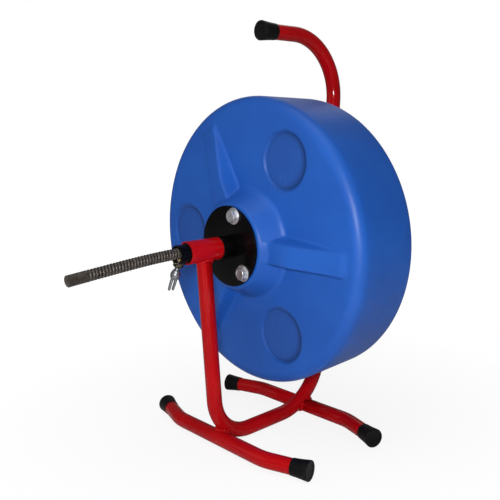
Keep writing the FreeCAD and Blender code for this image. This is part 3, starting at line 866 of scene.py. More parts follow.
@dataclass
class Workshop:
    """What every sub-assembly needs to make its pieces."""

    frame: dict[str, Any]
    datum: Datum
    wardrobe: Wardrobe

    def add(self, piece: Object, body: str, slot: Slot, *nodes: str) -> None:
        """Finishes a piece.

        Args:
            piece: the object.
            body: the CAD body that it moves with.
            slot: its finish.
            nodes: the CAD nodes that it stands for.
        """
        self.wardrobe.dress(piece, slot)
        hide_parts(*nodes)
        log.info("%s: %d faces", piece.name, len(piece.data.polygons))
        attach(piece, body)


# -------------------- camera and light


def outward(azimuth: float, elevation: float) -> Vector:
    """The direction out from the drum at a turn and a rise in degrees; a turn of 0 is to the front."""
    turn, rise = math.radians(azimuth), math.radians(elevation)
    return Vector((math.sin(turn) * math.cos(rise), -math.cos(turn) * math.cos(rise), math.sin(rise)))


@dataclass
class Viewpoint:
    """The camera: turned about the drum, raised, rolled a little, and moved across its own view."""

    azimuth: float = 48.7
    elevation: float = 9.34
    roll: float = -2.01
    distance: float = 1.003
    right: float = 0.00308
    up: float = -0.0108
    lens: float = 47.13
    sensor: float = 36
    clip: tuple[float, float] = (0.05, 40)

    def make(self, target: Triple) -> None:
        """Sets up the camera.

        Args:
            target: the point that it looks at before it is moved across.
        """
        turn, roll = math.radians(self.azimuth), math.radians(self.roll)
        back = outward(self.azimuth, self.elevation)
        level = Vector((math.cos(turn), math.sin(turn), 0))
        upright = back.cross(level)
        right = level * math.cos(roll) + upright * math.sin(roll)
        up = upright * math.cos(roll) - level * math.sin(roll)
        data = bpy.data.cameras.new("viewpoint")
        data.lens, data.sensor_width = self.lens, self.sensor
        data.clip_start, data.clip_end = self.clip
        camera = stand("viewpoint", data)
        place = Vector(target) + back * self.distance + right * self.right + up * self.up
        camera.matrix_world = Matrix.Translation(place) @ Matrix((right, up, back)).transposed().to_4x4()
        bpy.context.scene.camera = camera


@dataclass(frozen=True)
class Lamp:
    """A soft square lamp, placed by its turn and rise about the drum."""

    name: str
    azimuth: float
    elevation: float
    distance: float
    size: float
    power: float

    def make(self, target: Triple) -> None:
        """Hangs the lamp.

        Args:
            target: the point that it faces.
        """
        back = outward(self.azimuth, self.elevation)
        data = bpy.data.lights.new(self.name, "AREA")
        data.energy, data.size = self.power, self.size
        lamp = stand(self.name, data)
        lamp.location = Vector(target) + back * self.distance
        lamp.rotation_mode = "QUATERNION"
        lamp.rotation_quaternion = back.to_track_quat("Z", "Y")


@dataclass
class Studio:
    """A plain pale floor, a white background and soft lamps, the strongest of them beside the camera."""

    ambient: float = 0.14
    mirrored: float = 0.15
    floor_reach: float = 12.0
    floor_glow: float = 1.06
    floor_shadow: float = 0.2
    lamps: tuple[Lamp, ...] = (
        Lamp("key", 47, 13, 1.25, 0.14, 12),
        Lamp("ceiling", 20, 72, 2.2, 1.6, 13),
        Lamp("fill", -30, 20, 2.6, 1.6, 5),
        Lamp("behind", 216, 40, 2.4, 1.2, 4),
    )

    def make(self, target: Triple) -> None:
        """Sets up the colours, the world, the lamps and the floor.

        Args:
            target: the point that the lamps face.
        """
        bpy.context.scene.view_settings.view_transform = "Standard"
        self._world()
        for lamp in self.lamps:
            lamp.make(target)
        self._floor()

    def _world(self) -> None:
        """White where the camera sees it, paler in reflections, and a grey evenly lit room otherwise."""
        world = bpy.data.worlds.new("studio")
        bpy.context.scene.world = world
        world.use_nodes = True
        tree = world.node_tree
        book = Book.of_tree(tree)
        seen = book.add("LightPath", {}, {}, "Is Camera Ray")
        mirrored = book.add("LightPath", {}, {}, "Is Glossy Ray")
        strength = seen * (1 - self.ambient) + mirrored * (self.mirrored - self.ambient) + self.ambient
        tree.links.new(strength.source, tree.nodes["Background"].inputs["Strength"])
        tree.nodes["Background"].inputs["Color"].default_value = (1, 1, 1, 1)

    def _floor(self) -> None:
        """A pale sheet under the feet that shows white and takes a faint shadow."""
        side = self.floor_reach
        mesh = bpy.data.meshes.new("floor")
        corners = [(-side, -side, 0), (side, -side, 0), (side, side, 0), (-side, side, 0)]
        mesh.from_pydata(corners, [], [(0, 1, 2, 3)])
        floor = stand("floor", mesh)
        book = Book("floor_paper")
        matte = book.add("BsdfDiffuse", {}, {"Color": (0.8, 0.8, 0.8, 1)})
        glow = book.add("Emission", {}, {"Color": (1, 1, 1, 1), "Strength": self.floor_glow})
        seen = book.add("LightPath", {}, {}, "Is Camera Ray")
        near = book.ramp(book.length(book.place()), (0.15, 1.0), (0.9, 0.0))
        shown = seen * (1 - near * self.floor_shadow)
        both = book.add("MixShader", {}, {0: shown, 1: matte, 2: glow})
        book.tree.links.new(both.source, book.end.inputs["Surface"])
        mesh.materials.append(book.material)
        floor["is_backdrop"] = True


# -------------------- cable


@dataclass
class Cable:
    """The drain cable: one sprung wire wound close round a core, straight to the mouth and then drooping.

    The routes are in (x, depth behind the drum's front face, height above its axis).
    """

    run: tuple = ((0.00061, 0, 0.00201), (0.00061, -0.112, 0.00201), (0.00052, -0.133, 0.00164))
    stretch: tuple = (
        (0.00052, -0.133, 0.00164),
        (0.00038, -0.165, 0.00108),
        (0.00015, -0.232, -0.0041),
        (0, -0.300, -0.0102),
    )
    length: float = 0.1675
    diameter: float = 0.016
    wire: float = 0.0022
    sleeve: float = 0.029
    sleeve_radius: float = 0.00775
    sleeve_edge: float = 0.0011
    sleeve_lap: float = 0.001
    core_gap: float = 0.0002
    pitch: float = 0.0047
    around: int = 10
    a_turn: int = 28

    def _line(self, route: Sequence[Sequence[float]], datum: Datum) -> Array:
        """The points of a smooth spline with the route's points as its control points.

        Args:
            route: the control points.
            datum: the drum's place.

        Returns:
            The spline's points in the part's frame.
        """
        curve = bpy.data.curves.new("route", "CURVE")
        curve.dimensions = "3D"
        spline = curve.splines.new("NURBS")
        spline.points.add(len(route) - 1)
        placed = datum.side(np.array(route, float))
        spline.points.foreach_set("co", np.concatenate([placed, np.ones((len(route), 1))], 1).ravel())
        spline.order_u = 3
        spline.use_endpoint_u = True
        spline.resolution_u = 40
        holder = bpy.data.objects.new("route", curve)
        mesh = bpy.data.meshes.new_from_object(holder)
        points = read(mesh.vertices)
        bpy.data.objects.remove(holder)
        bpy.data.curves.remove(curve)
        bpy.data.meshes.remove(mesh)
        return points

    def _wound(self, line: Array, before: float, closed_tip: bool) -> Shape:
        """The wire, its core and, at the free end, the smooth sleeve pressed over it.

        The wire's middle is the line's point plus the reach times the cosine and sine of the phase, which
        grows by one turn each pitch of length along the line.

        Args:
            line: the cable's centre line.
            before: the length of cable ahead of the line's start, which sets the phase there.
            closed_tip: True if the line's end is the cable's free end.

        Returns:
            The closed surfaces as one.
        """
        whole = arc_lengths(line)[-1]
        length = whole - closed_tip * (self.sleeve - self.sleeve_lap)
        place = np.linspace(0, length, int(length / self.pitch * self.a_turn))
        centre = sampled(line, place)
        ahead = unit(np.gradient(centre, axis=0))
        beside = unit(np.cross(ahead, UP))
        phase = (2 * np.pi * (place + before) / self.pitch)[:, None]
        out = np.cos(phase) * beside + np.sin(phase) * np.cross(beside, ahead)
        reach = self.diameter / 2 - self.wire
        wire = swept(centre + reach * out, self.wire, out, self.around)
        core = swept(centre[:: self.a_turn], reach - self.core_gap, UP, 20)
        if not closed_tip:
            return joined(wire, core)
        covered = np.linspace(whole - self.sleeve, whole, 40)
        past = np.minimum(covered - covered[0], covered[-1] - covered)
        edge = self.sleeve_edge
        soft = edge - np.sqrt(edge**2 - np.clip(edge - past, 0, edge) ** 2)
        return joined(wire, core, swept(sampled(line, covered), self.sleeve_radius - soft, UP, 40))

    def make(self, shop: Workshop) -> None:
        """Winds the cable inside the shaft and the free stretch ahead of it.

        Args:
            shop: the workshop.
        """
        run = self._line(self.run, shop.datum)
        shop.add(make("cable_run", self._wound(run, 0, False)), "snake", Slot.CABLE, "snake_run")
        line = self._line(self.stretch, shop.datum)
        piece = make("cable_stretch", self._wound(line, arc_lengths(run)[-1], True))
        shop.add(piece, "snake", Slot.CABLE, "snake_stretch")


# -------------------- drum


@dataclass
class Drum:
    """The moulded drum: a conical hub, three wide ribs and three round recesses on each face.

    Each face's form is the hub's radius at its foot, its height, the ribs' height and the hub's fillet.
    """

    radius: float = 0.220
    back_radius: float = 0.2175
    depth: float = 0.119
    bore: float = 0.040
    rim: float = 0.017
    back_rim: float = 0.008
    hub_top: float = 0.065
    hub_edge: float = 0.003
    front_form: tuple[float, ...] = (0.084, 0.036, 0.0255, 0.009)
    back_form: tuple[float, ...] = (0.074, 0.012, 0.009, 0.006)
    rib_half: float = 0.0163
    rib_turn: float = -0.5
    rib_start: float = 0.03
    rib_toe: float = 0.004
    rib_root: float = 0.0255
    rib_tip: float = 0.203
    rib_end: float = 0.018
    rib_lip: float = 0.0005
    rib_fall: float = 0.253
    rib_slope: float = 4.0
    rib_bend: float = 0.12
    rib_edge: float = 0.012
    rib_fillet: float = 0.010
    recess_radius: float = 0.0415
    recess_reach: float = 0.1493
    recess_depth: float = 0.0036
    recess_slope: float = 0.0018
    flat_end: float = 0.061
    form_start: float = 0.0622
    front_step: float = 0.0016
    back_step: float = 0.0034
    gather: float = 0.05
    columns: int = 540
    inside: tuple[tuple[float, float], ...] = (
        (0.040, -0.127),
        (0.060, -0.127),
        (0.072, -0.115),
        (0.207, -0.115),
        (0.213, -0.108),
        (0.214, -0.060),
        (0.214, -0.030),
        (0.205, -0.009),
        (0.078, -0.009),
        (0.062, 0.032),
        (0.040, 0.032),
    )

    def recesses(self, datum: Datum) -> list[Triple]:
        """Where the recesses are: each a reach out from the axis, midway between two ribs.

        Args:
            datum: the drum's place.

        Returns:
            The middle of each recess, in the plane of the front face.
        """
        turn = np.radians([60, 180, 300])
        middles = self.recess_reach * np.stack([np.cos(turn), np.sin(turn), 0 * turn], -1)
        return [tuple(middle) for middle in datum.on_drum(middles)]

    def _relief(self, x: Array, y: Array, foot: float, rise: float, root: float, fillet: float) -> Array:
        """How far a face stands out at each point.

        The hub is a cone, cut off flat. Each rib has a flat crest of one width, level near the hub and then
        falling to the tip, between two steep flanks. Each recess is a step down inside a circle.

        Args:
            x: the points' first coordinate across the face.
            y: their second.
            foot: the hub's radius at its foot.
            rise: the hub's height.
            root: the ribs' height at the hub.
            fillet: the width of the fillet at the hub's foot.

        Returns:
            The heights.
        """
        reach = np.hypot(x, y)
        cone = (foot - reach) * rise / (foot - self.hub_top)
        height = higher(0 * reach, lower(cone, rise, self.hub_edge), fillet)
        ended = 1 - fade(reach, self.rib_tip - self.rib_end, self.rib_tip - self.rib_lip)
        inner, outer = self.recess_radius - self.recess_slope, self.recess_radius + self.recess_slope
        for turn in 2 * np.pi / 3 * np.arange(3):
            aim = turn + math.radians(self.rib_turn)
            out = x * np.cos(aim) + y * np.sin(aim)
            off = np.abs(y * np.cos(aim) - x * np.sin(aim))
            crest = root * lower((self.rib_tip - out) * self.rib_fall / self.rib_root, 1, self.rib_bend)
            rib = crest + lower((self.rib_half - off) * self.rib_slope, 0, self.rib_edge)
            rib = lower(rib, (out - self.rib_start) * self.rib_slope, self.rib_toe)
            height += ended * (higher(height, rib, self.rib_fillet) - height)
            mid = turn + np.pi / 3
            away = np.hypot(x - self.recess_reach * np.cos(mid), y - self.recess_reach * np.sin(mid))
            height -= self.recess_depth * (1 - fade(away, inner, outer))
        return height

    def _shell(self) -> Shape:
        """The shell's outside, from the front bore over the rim to the back bore, and a plain inside.

        Each point of the turned profile is at its radius times the cosine and sine of the turn, and the two
        faces then stand out by their relief. The columns gather at the ribs and between them.

        Returns:
            The shell in the drum's frame.
        """
        soft, step = self.back_rim, self.radius - self.rim
        arc, back_arc = np.linspace(0, np.pi / 2, 12), np.linspace(0, np.pi / 2, 8)
        share = np.linspace(0, 1, 8)[1:-1]
        formed = np.arange(self.form_start, step, self.front_step)
        front = np.concatenate([np.linspace(self.bore, self.flat_end, 5), formed])
        formed = np.arange(self.back_radius - soft - 0.003, self.form_start, -self.back_step)
        back = np.concatenate([formed, np.linspace(self.flat_end, self.bore, 3)])
        inside = np.array(self.inside)
        parts = [
            (front, 0 * front),
            (step + self.rim * np.sin(arc), -self.rim * (1 - np.cos(arc))),
            (
                self.radius + (self.back_radius - self.radius) * share,
                -self.rim + (self.rim + soft - self.depth) * share,
            ),
            (
                self.back_radius - soft + soft * np.cos(back_arc),
                -self.depth + soft - soft * np.sin(back_arc),
            ),
            (back, 0 * back - self.depth),
            (inside[:, 0], inside[:, 1]),
        ]
        reach, level = (np.concatenate([part[i] for part in parts])[:, None] for i in (0, 1))
        turn = turns(self.columns)[None]
        turn = turn - np.sin(6 * turn) * self.gather
        x, y = reach * np.cos(turn), reach * np.sin(turn)
        z = level + 0 * turn
        for way, face, form in (
            (1, slice(0, len(front)), self.front_form),
            (-1, slice(-len(inside) - len(back), -len(inside)), self.back_form),
        ):
            z[face] += way * self._relief(x[face], y[face], *form)
        return skin(np.stack([x, y, z], -1), True)

    def make(self, shop: Workshop) -> None:
        """Moulds the shell on the drum's frame and carries it to its place."""
        shell = self._shell().moved(shop.datum.on_drum)
        shop.add(make("drum_skin", shell, 60), "drum", Slot.DRUM, "drum_shell")


# -------------------- flange plates, shaft, bearings


@dataclass(frozen=True)
class TurnedPart:
    """A ring or pipe about the drum's axis, whose profile's corners are rounded."""

    node: str
    body: str
    slot: Slot
    inner: float
    outer: float
    back: float
    front: float
    edge: float = 0.0006

    def make(self, shop: Workshop) -> None:
        """Turns the part and carries it to its place.

        Args:
            shop: the workshop.
        """
        profile = rounded(box(self.inner, self.outer, self.back, self.front), self.edge)
        shape = turned(profile, 128, True).moved(shop.datum.on_drum)
        shop.add(make(f"{self.node}_turned", shape), self.body, self.slot, self.node)


@dataclass
class Fastenings:
    """Three hexagon bolts on round washers through each flange plate."""

    reach: float = 0.049
    turn: float = 74.7
    flats: float = 0.017
    head: float = 0.0064
    shank: float = 0.005
    washer_bore: float = 0.0052
    washer: float = 0.0125
    washer_thick: float = 0.002
    washer_edge: float = 0.0006
    grip: float = 0.0153
    crown: float = 0.95
    chamfer: float = 0.6
    spins: Triple = (11, 37, -22)

    def _bolt(self) -> Shape:
        """One bolt, head up from the height 0: the chamfer cone cuts the hexagon's corners off.

        Returns:
            The bolt, its axis on Z.
        """
        six = hexagon(turns(72), self.flats)
        dome = self.flats / 2 * self.crown
        end = -self.grip - self.washer_thick
        rows = [
            (0.002, self.head - 0.0006),
            (0.0052, self.head - 0.0006),
            (0.0060, self.head - 0.0001),
            (dome, self.head),
            (np.minimum(six, dome + 0.0002), self.head - 0.0002),
        ]
        for share in (0.3, 0.6, 1.0):
            reach = dome + (six - dome) * share
            rows.append((reach, self.head - 0.0003 - np.maximum(reach - dome, 0) * self.chamfer))
        rows += [
            (six, 0.0006),
            (six * 0.985, 0.0001),
            (self.shank + 0.0005, 0.0001),
            (self.shank, -0.0004),
            (self.shank, end - 0.002),
            (self.shank - 0.001, end - 0.003),
        ]
        return turned(rows, 72)

    def _three(self, shape: Shape, spins: Triple = (0, 0, 0)) -> Shape:
        """The shape at each of the three bolt places, each copy with its own spin in degrees."""
        out = self.reach * RIGHT
        return joined(
            *(
                shape.moved(lambda p, s=spin, i=i: spun(spun(p, s) + out, self.turn + 120 * i))
                for i, spin in enumerate(spins)
            )
        )

    def make(self, shop: Workshop, side: str, seat: float, way: int) -> None:
        """Bolts one flange plate down.

        Args:
            shop: the workshop.
            side: front or rear.
            seat: the plate's outer face, in the drum's frame.
            way: 1 to stand forwards, -1 backwards.
        """

        def seated(points: Array) -> Array:
            """Points turned over for the rear, moved to the seat and carried to the drum."""
            return shop.datum.on_drum(points * np.array((way, 1, way)) + seat * UP)

        ring = rounded(box(self.washer_bore, self.washer, 0, self.washer_thick), self.washer_edge)
        bolts = self._three(self._bolt(), self.spins).moved(lambda p: p + self.washer_thick * UP)
        washers = self._three(turned(ring, 64, True))
        for name, shape, crisp in (("bolts", bolts, 28), ("washers", washers, 40)):
            piece = make(f"{side}_{name}", shape.moved(seated), crisp)
            shop.add(piece, "drum", Slot.ZINC, f"{side}_flange_{name}")


# -------------------- clamp


@dataclass
class Clamp:
    """The nut welded to the shaft and the wing screw in it, in a frame whose Z axis is the screw's."""

    reach: float = 0.125
    turn: float = 256.7
    lean: float = 11.0
    shaft: float = 0.01345
    flats: float = 0.013
    crown: float = 0.96
    chamfer: float = 0.6
    nut_start: float = 0.0122
    nut_end: float = 0.0195
    weld: float = 0.0074
    weld_size: float = 0.0019
    weld_wander: float = 0.0004
    weld_lump: float = 0.0003
    screw: float = 0.00394
    thread: float = 0.00035
    pitch: float = 0.00125
    screw_start: float = 0.0100
    hub_start: float = 0.025
    hub_end: float = 0.035
    wing_turn: float = -6.0
    wing_width: tuple[float, float] = (0.0021, 0.0002)
    wing_thick: tuple[float, float] = (0.0025, 0.0004)
    wing: tuple[tuple[float, float], ...] = ((0.0036, 0.0345), (0.0042, 0.0450), (0.0036, 0.0562))

    def _placed(self, shop: Workshop, degrees: float = 0) -> Callable[[Array], Array]:
        """The change from the screw's frame to the part's frame: a spin, the lean and the clamp's turn.

        Args:
            shop: the workshop.
            degrees: the spin about the screw's axis.

        Returns:
            The function that carries points over.
        """
        tilt = math.radians(90 - self.lean)
        sine, cosine = math.sin(tilt), math.cos(tilt)

        def change(points: Array) -> Array:
            """Points spun, tipped over from the shaft's axis and moved to the clamp's reach.

            Args:
                points: the points in the screw's frame.

            Returns:
                The points in the part's frame.
            """
            x, y, z = spun(points, degrees).transpose(1, 0)
            tipped = np.stack([x * cosine + z * sine, y, z * cosine - x * sine], -1)
            return shop.datum.on_drum(spun(tipped, self.turn) + self.reach * UP)

        return change

    def _nut(self) -> Shape:
        """A hexagon nut with both ends chamfered.

        Returns:
            The nut in the screw's frame.
        """
        six = hexagon(turns(72), self.flats)
        flat = self.flats / 2 * self.crown
        chamfer = 0.0002 + (six - flat) * self.chamfer
        low, high = self.nut_start, self.nut_end
        rows = [
            (0.0041, low),
            (flat, low),
            (six, low + chamfer),
            (six, high - chamfer),
            (flat, high),
            (0.0050, high),
            (0.0042, high - 0.0007),
        ]
        return turned(rows, 72, True)

    def _weld(self) -> Shape:
        """A lumpy ring of weld metal where the nut meets the shaft.

        The bead wanders in and out seven times and swells thirteen times on its way round, and its middle is
        at the height of the shaft's wall: the root of its radius squared less the distance across squared.

        Returns:
            The bead in the screw's frame.
        """
        turn = turns(96)
        reach = self.weld + self.weld_wander * np.sin(turn * 7)
        across = reach * np.sin(turn)
        path = np.stack([reach * np.cos(turn), across, np.sqrt(self.shaft**2 - across**2)], -1)
        size = self.weld_size + self.weld_lump * np.sin(turn * 13 + 1)
        return swept(path, size, UP, 12, True)

    def _screw(self) -> Shape:
        """The stem and the hub; the thread is a ripple whose depth rises and falls once each pitch.

        Returns:
            Both as one turned shape in the screw's frame.
        """
        thread = np.arange(self.screw_start, self.hub_start, 0.0002)
        ripple = self.screw - self.thread * (1 - np.cos(2 * np.pi * thread / self.pitch)) / 2
        hub = rounded(
            [
                (0.0040, self.hub_start),
                (0.0054, self.hub_start),
                (0.0058, self.hub_start + 0.002),
                (0.0074, self.hub_start + 0.005),
                (0.0070, self.hub_end),
                (0.0052, self.hub_end + 0.0032),
                (0.0030, self.hub_end + 0.0037),
            ],
            0.0012,
            6,
            False,
        )
        return turned(np.concatenate([np.stack([ripple, thread], -1), hub]), 48)

    def _wing(self, side: float) -> Shape:
        """One horn: an oval section along a curve that leaves the hub sideways and turns up to its tip.

        The section's half width and half thickness change along the curve, widest near the tip.

        Args:
            side: 1 for the horn towards X, -1 for the other.

        Returns:
            The horn.
        """
        curve = rounded(self.wing, 0.008, 8, False)
        even = np.linspace(0, 1, 48)
        curve = sampled(curve, even * arc_lengths(curve)[-1])
        round_end = np.sqrt(np.clip(1 - ((even - 0.5) / 0.505) ** 10, 0.01, 1))
        width = (self.wing_width[0] - self.wing_width[1] * even) * round_end
        thick = (self.wing_thick[0] - self.wing_thick[1] * even) * round_end
        ahead = unit(np.gradient(curve, axis=0))
        turn = turns(24)
        across = width[:, None] * np.cos(turn)
        x = curve[:, :1] + across * -ahead[:, 1:]
        z = curve[:, 1:] + across * ahead[:, :1]
        y = thick[:, None] * np.sin(turn)
        return skin(np.stack([x * side, y, z], -1))

    def make(self, shop: Workshop) -> None:
        """Makes the shaft drilled for the screw, the nut with its weld, and the wing screw.

        Args:
            shop: the workshop.
        """
        shaft = smooth_copy("outlet_shaft_drilled", shop.frame["nodes"]["outlet_shaft"])
        shop.add(shaft, "drum", Slot.BLACK, "outlet_shaft")
        nut = joined(self._nut(), self._weld()).moved(self._placed(shop))
        shop.add(make("nut_and_weld", nut, 32), "drum", Slot.YELLOW, "clamp_nut")
        screw = joined(self._screw(), self._wing(1), self._wing(-1))
        screw = screw.moved(self._placed(shop, self.wing_turn))
        shop.add(make("winged_screw", screw, 50), "wing_screw", Slot.WING, "wing_screw")


# -------------------- frame


@dataclass
class Caps:
    """Push-on ferrules: flush at the lip, with a hollow flare towards a flat end with a crisp edge."""

    bore: float = 0.0119
    lip: float = 0.0123
    end: float = 0.0148
    thick: float = 0.003

    def _ferrule(self, length: float) -> Shape:
        """One ferrule with its closed end's outer face at the height 0 and its open end below."""
        profile = rounded(
            [
                (0.0004, -0.0008),
                (0.0090, -0.0007),
                (0.0110, 0.0),
                (self.end, 0.0),
                (self.end - 0.0004, -0.0035),
                (self.lip + 0.0006, -length * 0.62),
                (self.lip, -length),
                (self.bore, -length),
                (self.bore, -self.thick - 0.004),
                (self.bore, -self.thick),
                (0.0004, -self.thick),
            ],
            [0, 0.0006, 0.0010, 0.0011, 0.003, 0.008, 0.0003, 0.0002, 0, 0, 0],
            6,
        )
        return turned(profile, 72, True)

    def make(self, shop: Workshop, node: str, length: float, end: Array, way: Array) -> None:
        """Pushes one ferrule on to a tube's end.

        Args:
            shop: the workshop.
            node: the CAD cap that it stands for.
            length: the ferrule's length.
            end: the middle of the ferrule's outer face.
            way: the level direction out of the tube, of length one.
        """
        right = unit(np.cross(way, UP))
        axes = np.stack([right, np.cross(way, right), way])
        shape = self._ferrule(length).moved(lambda p: end + p @ axes)
        shop.add(make(f"{node}_ferrule", shape, 30), "frame", Slot.CAP, node)


@dataclass
class Welds:
    """Beads of weld, painted over: round cords with the small ripples of each pass."""

    size: float = 0.0026
    ripple: float = 0.00035
    spacing: float = 0.003

    def bead(self, path: Array, side: Array, seed: float = 0) -> Shape:
        """A bead along a closed path.

        Its radius is the size plus a ripple whose sine runs once in each spacing, and a slow swell.

        Args:
            path: the bead's middle.
            side: the direction across it.
            seed: where the ripple starts.

        Returns:
            The bead.
        """
        lengths = np.cumsum(np.linalg.norm(np.roll(path, -1, 0) - path, axis=1))
        turn = 2 * np.pi * lengths / lengths[-1]
        waves = max(3, round(lengths[-1] / self.spacing))
        size = self.size + self.ripple * (np.sin(waves * turn + seed) + 0.8 * np.sin(2 * turn + seed))
        return swept(path, size, side, 14, True)


@dataclass
class TubeFrame:
    """The bent frame tube, its two bearing tubes, its two cross feet, and what joins and ends them.

    Lengths run back from the drum's front face and up from its axis.
    """

    tube: float = 0.011
    bearing: float = 0.01685
    bearing_sink: float = 0.006
    front_upright: float = -0.0863
    front_lean: float = 1.92
    back_upright: float = 0.1765
    back_lean: float = 6.6
    foot_level: float = -0.292
    handle_level: float = 0.3165
    handle_end: float = 0.038
    foot_reaches: tuple[float, float] = (-0.0735, 0.110)
    foot_sweep: float = 17.5
    foot_corner: float = 0.100
    foot_half: float = 0.173
    bends: tuple[float, float] = (0.065, 0.093)
    bend_middles: tuple[tuple[float, float], ...] = ((-0.0135, -0.230), (0.0595, -0.202))
    paint: float = 0.0007
    bead_lift: float = 0.0008
    cap_inset: float = 0.0025
    cap_length: float = 0.027
    cap_reach: float = 0.02
    cap_floor: float = 0.0035
    handle_inset: float = 0.0015
    copies: tuple[str, ...] = ("frame_tube", "front_foot_tube", "rear_foot_tube", "rear_bearing_tube")

    def _saddle(self) -> Array:
        """Where the upright's round wall meets the front bearing tube's underside, as a closed path.

        At each turn round the upright, x is the tube's radius times the sine, and the height is that of the
        bearing tube's wall there: minus the root of its radius squared less x squared.

        Returns:
            The path's (x, depth, height) points.
        """
        turn = turns(96)
        x = self.tube * np.sin(turn)
        z = -np.sqrt(self.bearing**2 - x**2)
        y = self.front_upright - z * math.tan(math.radians(self.front_lean)) + self.tube * np.cos(turn)
        return np.stack([x, y, z], -1)

    def _bearing_ring(self) -> Array:
        """Where the rear bearing tube's round wall meets the rear upright's front side, as a closed path.

        At each turn round the bearing, x and z lie on its circle, and the depth is that of the upright's wall
        there: its middle less the root of its radius squared less x squared.

        Returns:
            The path's (x, depth, height) points.
        """
        turn = turns(96)
        x, z = self.bearing * np.sin(turn), self.bearing * np.cos(turn)
        y = self.back_upright + z * math.tan(math.radians(self.back_lean))
        y -= np.sqrt(np.clip(self.tube**2 - x**2, 0, None))
        return np.stack([x, np.minimum(y, self.back_upright - self.bearing_sink), z], -1)

    def _crossing(self, reach: float, bend: float, middle: tuple[float, float]) -> tuple[Array, Array]:
        """Where a cross foot's wall and the bent frame tube's run into each other, as a closed path.

        Both tubes, swollen to the bead's middle, are round and cross square, their axes a distance d apart.
        At an angle t round the line between them, the path's distance q from it satisfies
        root(r^2 - q^2 cos^2 t) + root(r^2 - q^2 sin^2 t) = d, so with c = r^2 - d^2 / 4 its square is
        4 c / (1 + root(1 + 4 c cos^2(2 t) / d^2)).

        Args:
            reach: the foot's depth.
            bend: the radius of the frame tube's bend over the foot.
            middle: the depth and level of the bend's centre.

        Returns:
            The path and the direction from the frame tube to the foot.
        """
        down = np.array((0, reach - middle[0], self.foot_level - middle[1]))
        apart = np.linalg.norm(down) - bend
        down = unit(down)
        swollen = self.tube + self.paint + self.bead_lift
        spare = swollen**2 - apart**2 / 4
        turn = turns(120)[:, None]
        out = np.sqrt(4 * spare / (1 + np.sqrt(1 + 4 * spare * np.cos(2 * turn) ** 2 / apart**2)))
        across = out * np.cos(turn)
        depth = bend + np.sqrt(swollen**2 - np.minimum(across**2, swollen**2))
        path = np.array((0, *middle)) + across * RIGHT + depth * down
        return path + out * np.sin(turn) * np.cross(RIGHT, down), down

    def _ends(self) -> list[tuple[str, float, Array, Array]]:
        """Where the ferrules go: on the handle's end and on both ends of each swept foot.

        Returns:
            Each one's node and length, the middle of its outer face and the direction out of its tube.
        """
        face = np.array((0, self.handle_end + self.handle_inset, self.handle_level))
        ends = [("handle_cap", self.cap_length + 0.002, face, -BACK)]
        sweep = math.radians(self.foot_sweep)
        run = (self.foot_half - self.foot_corner) * math.tan(sweep)
        for side, reach, backward in (("front", self.foot_reaches[0], 1), ("rear", self.foot_reaches[1], -1)):
            for hand, way in (("left", -1), ("right", 1)):
                out = np.array((way * math.cos(sweep), backward * math.sin(sweep), 0))
                end = np.array((way * self.foot_half, reach + run * backward, self.foot_level))
                face = end - out * self.cap_inset
                ends.append((f"{side}_{hand}_foot_cap", self.cap_length, face, out))
        return ends

    def make(self, shop: Workshop) -> None:
        """Makes the smooth tubes, the beads and the ferrules.

        Args:
            shop: the workshop.
        """
        for node in self.copies:
            copy = smooth_copy(f"{node}_smooth", shop.frame["nodes"][node])
            self._fill_out(copy)
            self._trim(copy, shop.datum)
            shop.add(copy, "frame", Slot.RED, node)
        side = shop.datum.side
        fine, coarse = Welds(), Welds(size=0.0027, ripple=0.0007, spacing=0.0062)
        shapes = [fine.bead(side(self._saddle()), UP, 0.4), fine.bead(side(self._bearing_ring()), BACK, 1.7)]
        for reach, bend, middle in zip(self.foot_reaches, self.bends, self.bend_middles):
            path, down = self._crossing(reach, bend, middle)
            shapes.append(coarse.bead(side(path), down, reach * 9))
        shop.add(make("weld_beads", joined(*shapes), 60), "frame", Slot.RED)
        caps = Caps()
        for node, length, face, out in self._ends():
            caps.make(shop, node, length, side(face), out)

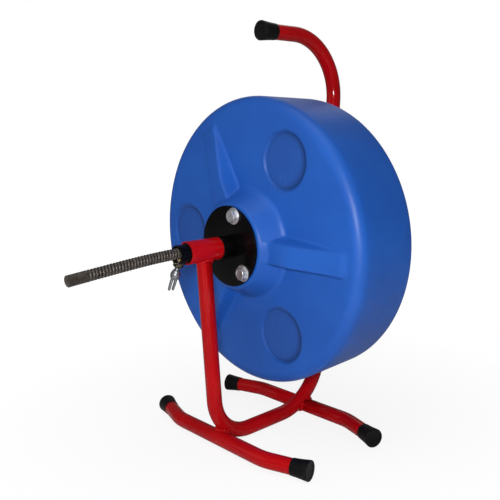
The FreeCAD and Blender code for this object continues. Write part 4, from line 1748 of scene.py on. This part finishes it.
    def _fill_out(self, tube: Object) -> None:
        """Moves a tube's walls out along their normals by the paint's thickness, within the CAD box.

        Args:
            tube: the tube's copy.
        """
        low, high = (np.array(corner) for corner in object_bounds())
        grown = read(tube.data.vertices) + read(tube.data.vertices, "normal") * self.paint
        move(tube, np.clip(grown, low, high))

    def _trim(self, tube: Object, datum: Datum) -> None:
        """Draws a tube's end faces back behind its ferrules' closed ends.

        Args:
            tube: the tube's copy.
            datum: the drum's place.
        """
        points = read(tube.data.vertices)
        for _, _, face, out in self._ends():
            away = points - datum.side(face)
            past = np.where(np.linalg.norm(away, axis=1) < self.cap_reach, away @ out + self.cap_floor, 0)
            points -= np.maximum(past, 0)[:, None] * out
        move(tube, points)


# -------------------- main


FRONT_SEAT, REAR_SEAT = 0.0393, -0.1343
TURNED_PARTS = (
    TurnedPart("front_flange_plate", "drum", Slot.BLACK, 0.01345, 0.0607, 0.036, FRONT_SEAT, 0.0007),
    TurnedPart("rear_flange_plate", "drum", Slot.BLACK, 0.01345, 0.0607, REAR_SEAT, -0.131, 0.0007),
    TurnedPart("rear_axle", "drum", Slot.BLACK, 0.01085, 0.01345, -0.161, -0.131, 0.0008),
    TurnedPart("stop_collar", "drum", Slot.BLACK, 0.01345, 0.01685, 0.0445, 0.060, 0.0010),
    TurnedPart("front_bearing_tube", "frame", Slot.RED, 0.01485, 0.01685, 0.0605, 0.117),
)


def main() -> None:
    """Builds the machine's looks round the CAD frame, one sub-assembly after another."""
    logging.basicConfig(level=logging.INFO, format="%(name)s: %(message)s")
    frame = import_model()
    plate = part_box("front_flange_plate")
    datum = Datum(front=plate[0].y + FRONT_SEAT, height=(plate[0].z + plate[1].z) / 2)
    Viewpoint().make(datum.axis)
    drum = Drum()
    shop = Workshop(frame, datum, Wardrobe(datum.axis, drum.recesses(datum)))
    Cable().make(shop)
    Studio().make(datum.axis)
    shop.wardrobe.dress_nodes(frame)
    drum.make(shop)
    for part in TURNED_PARTS:
        part.make(shop)
    for side, seat, way in (("front", FRONT_SEAT, 1), ("rear", REAR_SEAT, -1)):
        Fastenings().make(shop, side, seat, way)
    Clamp().make(shop)
    TubeFrame().make(shop)


if __name__ == "__main__":
    main()
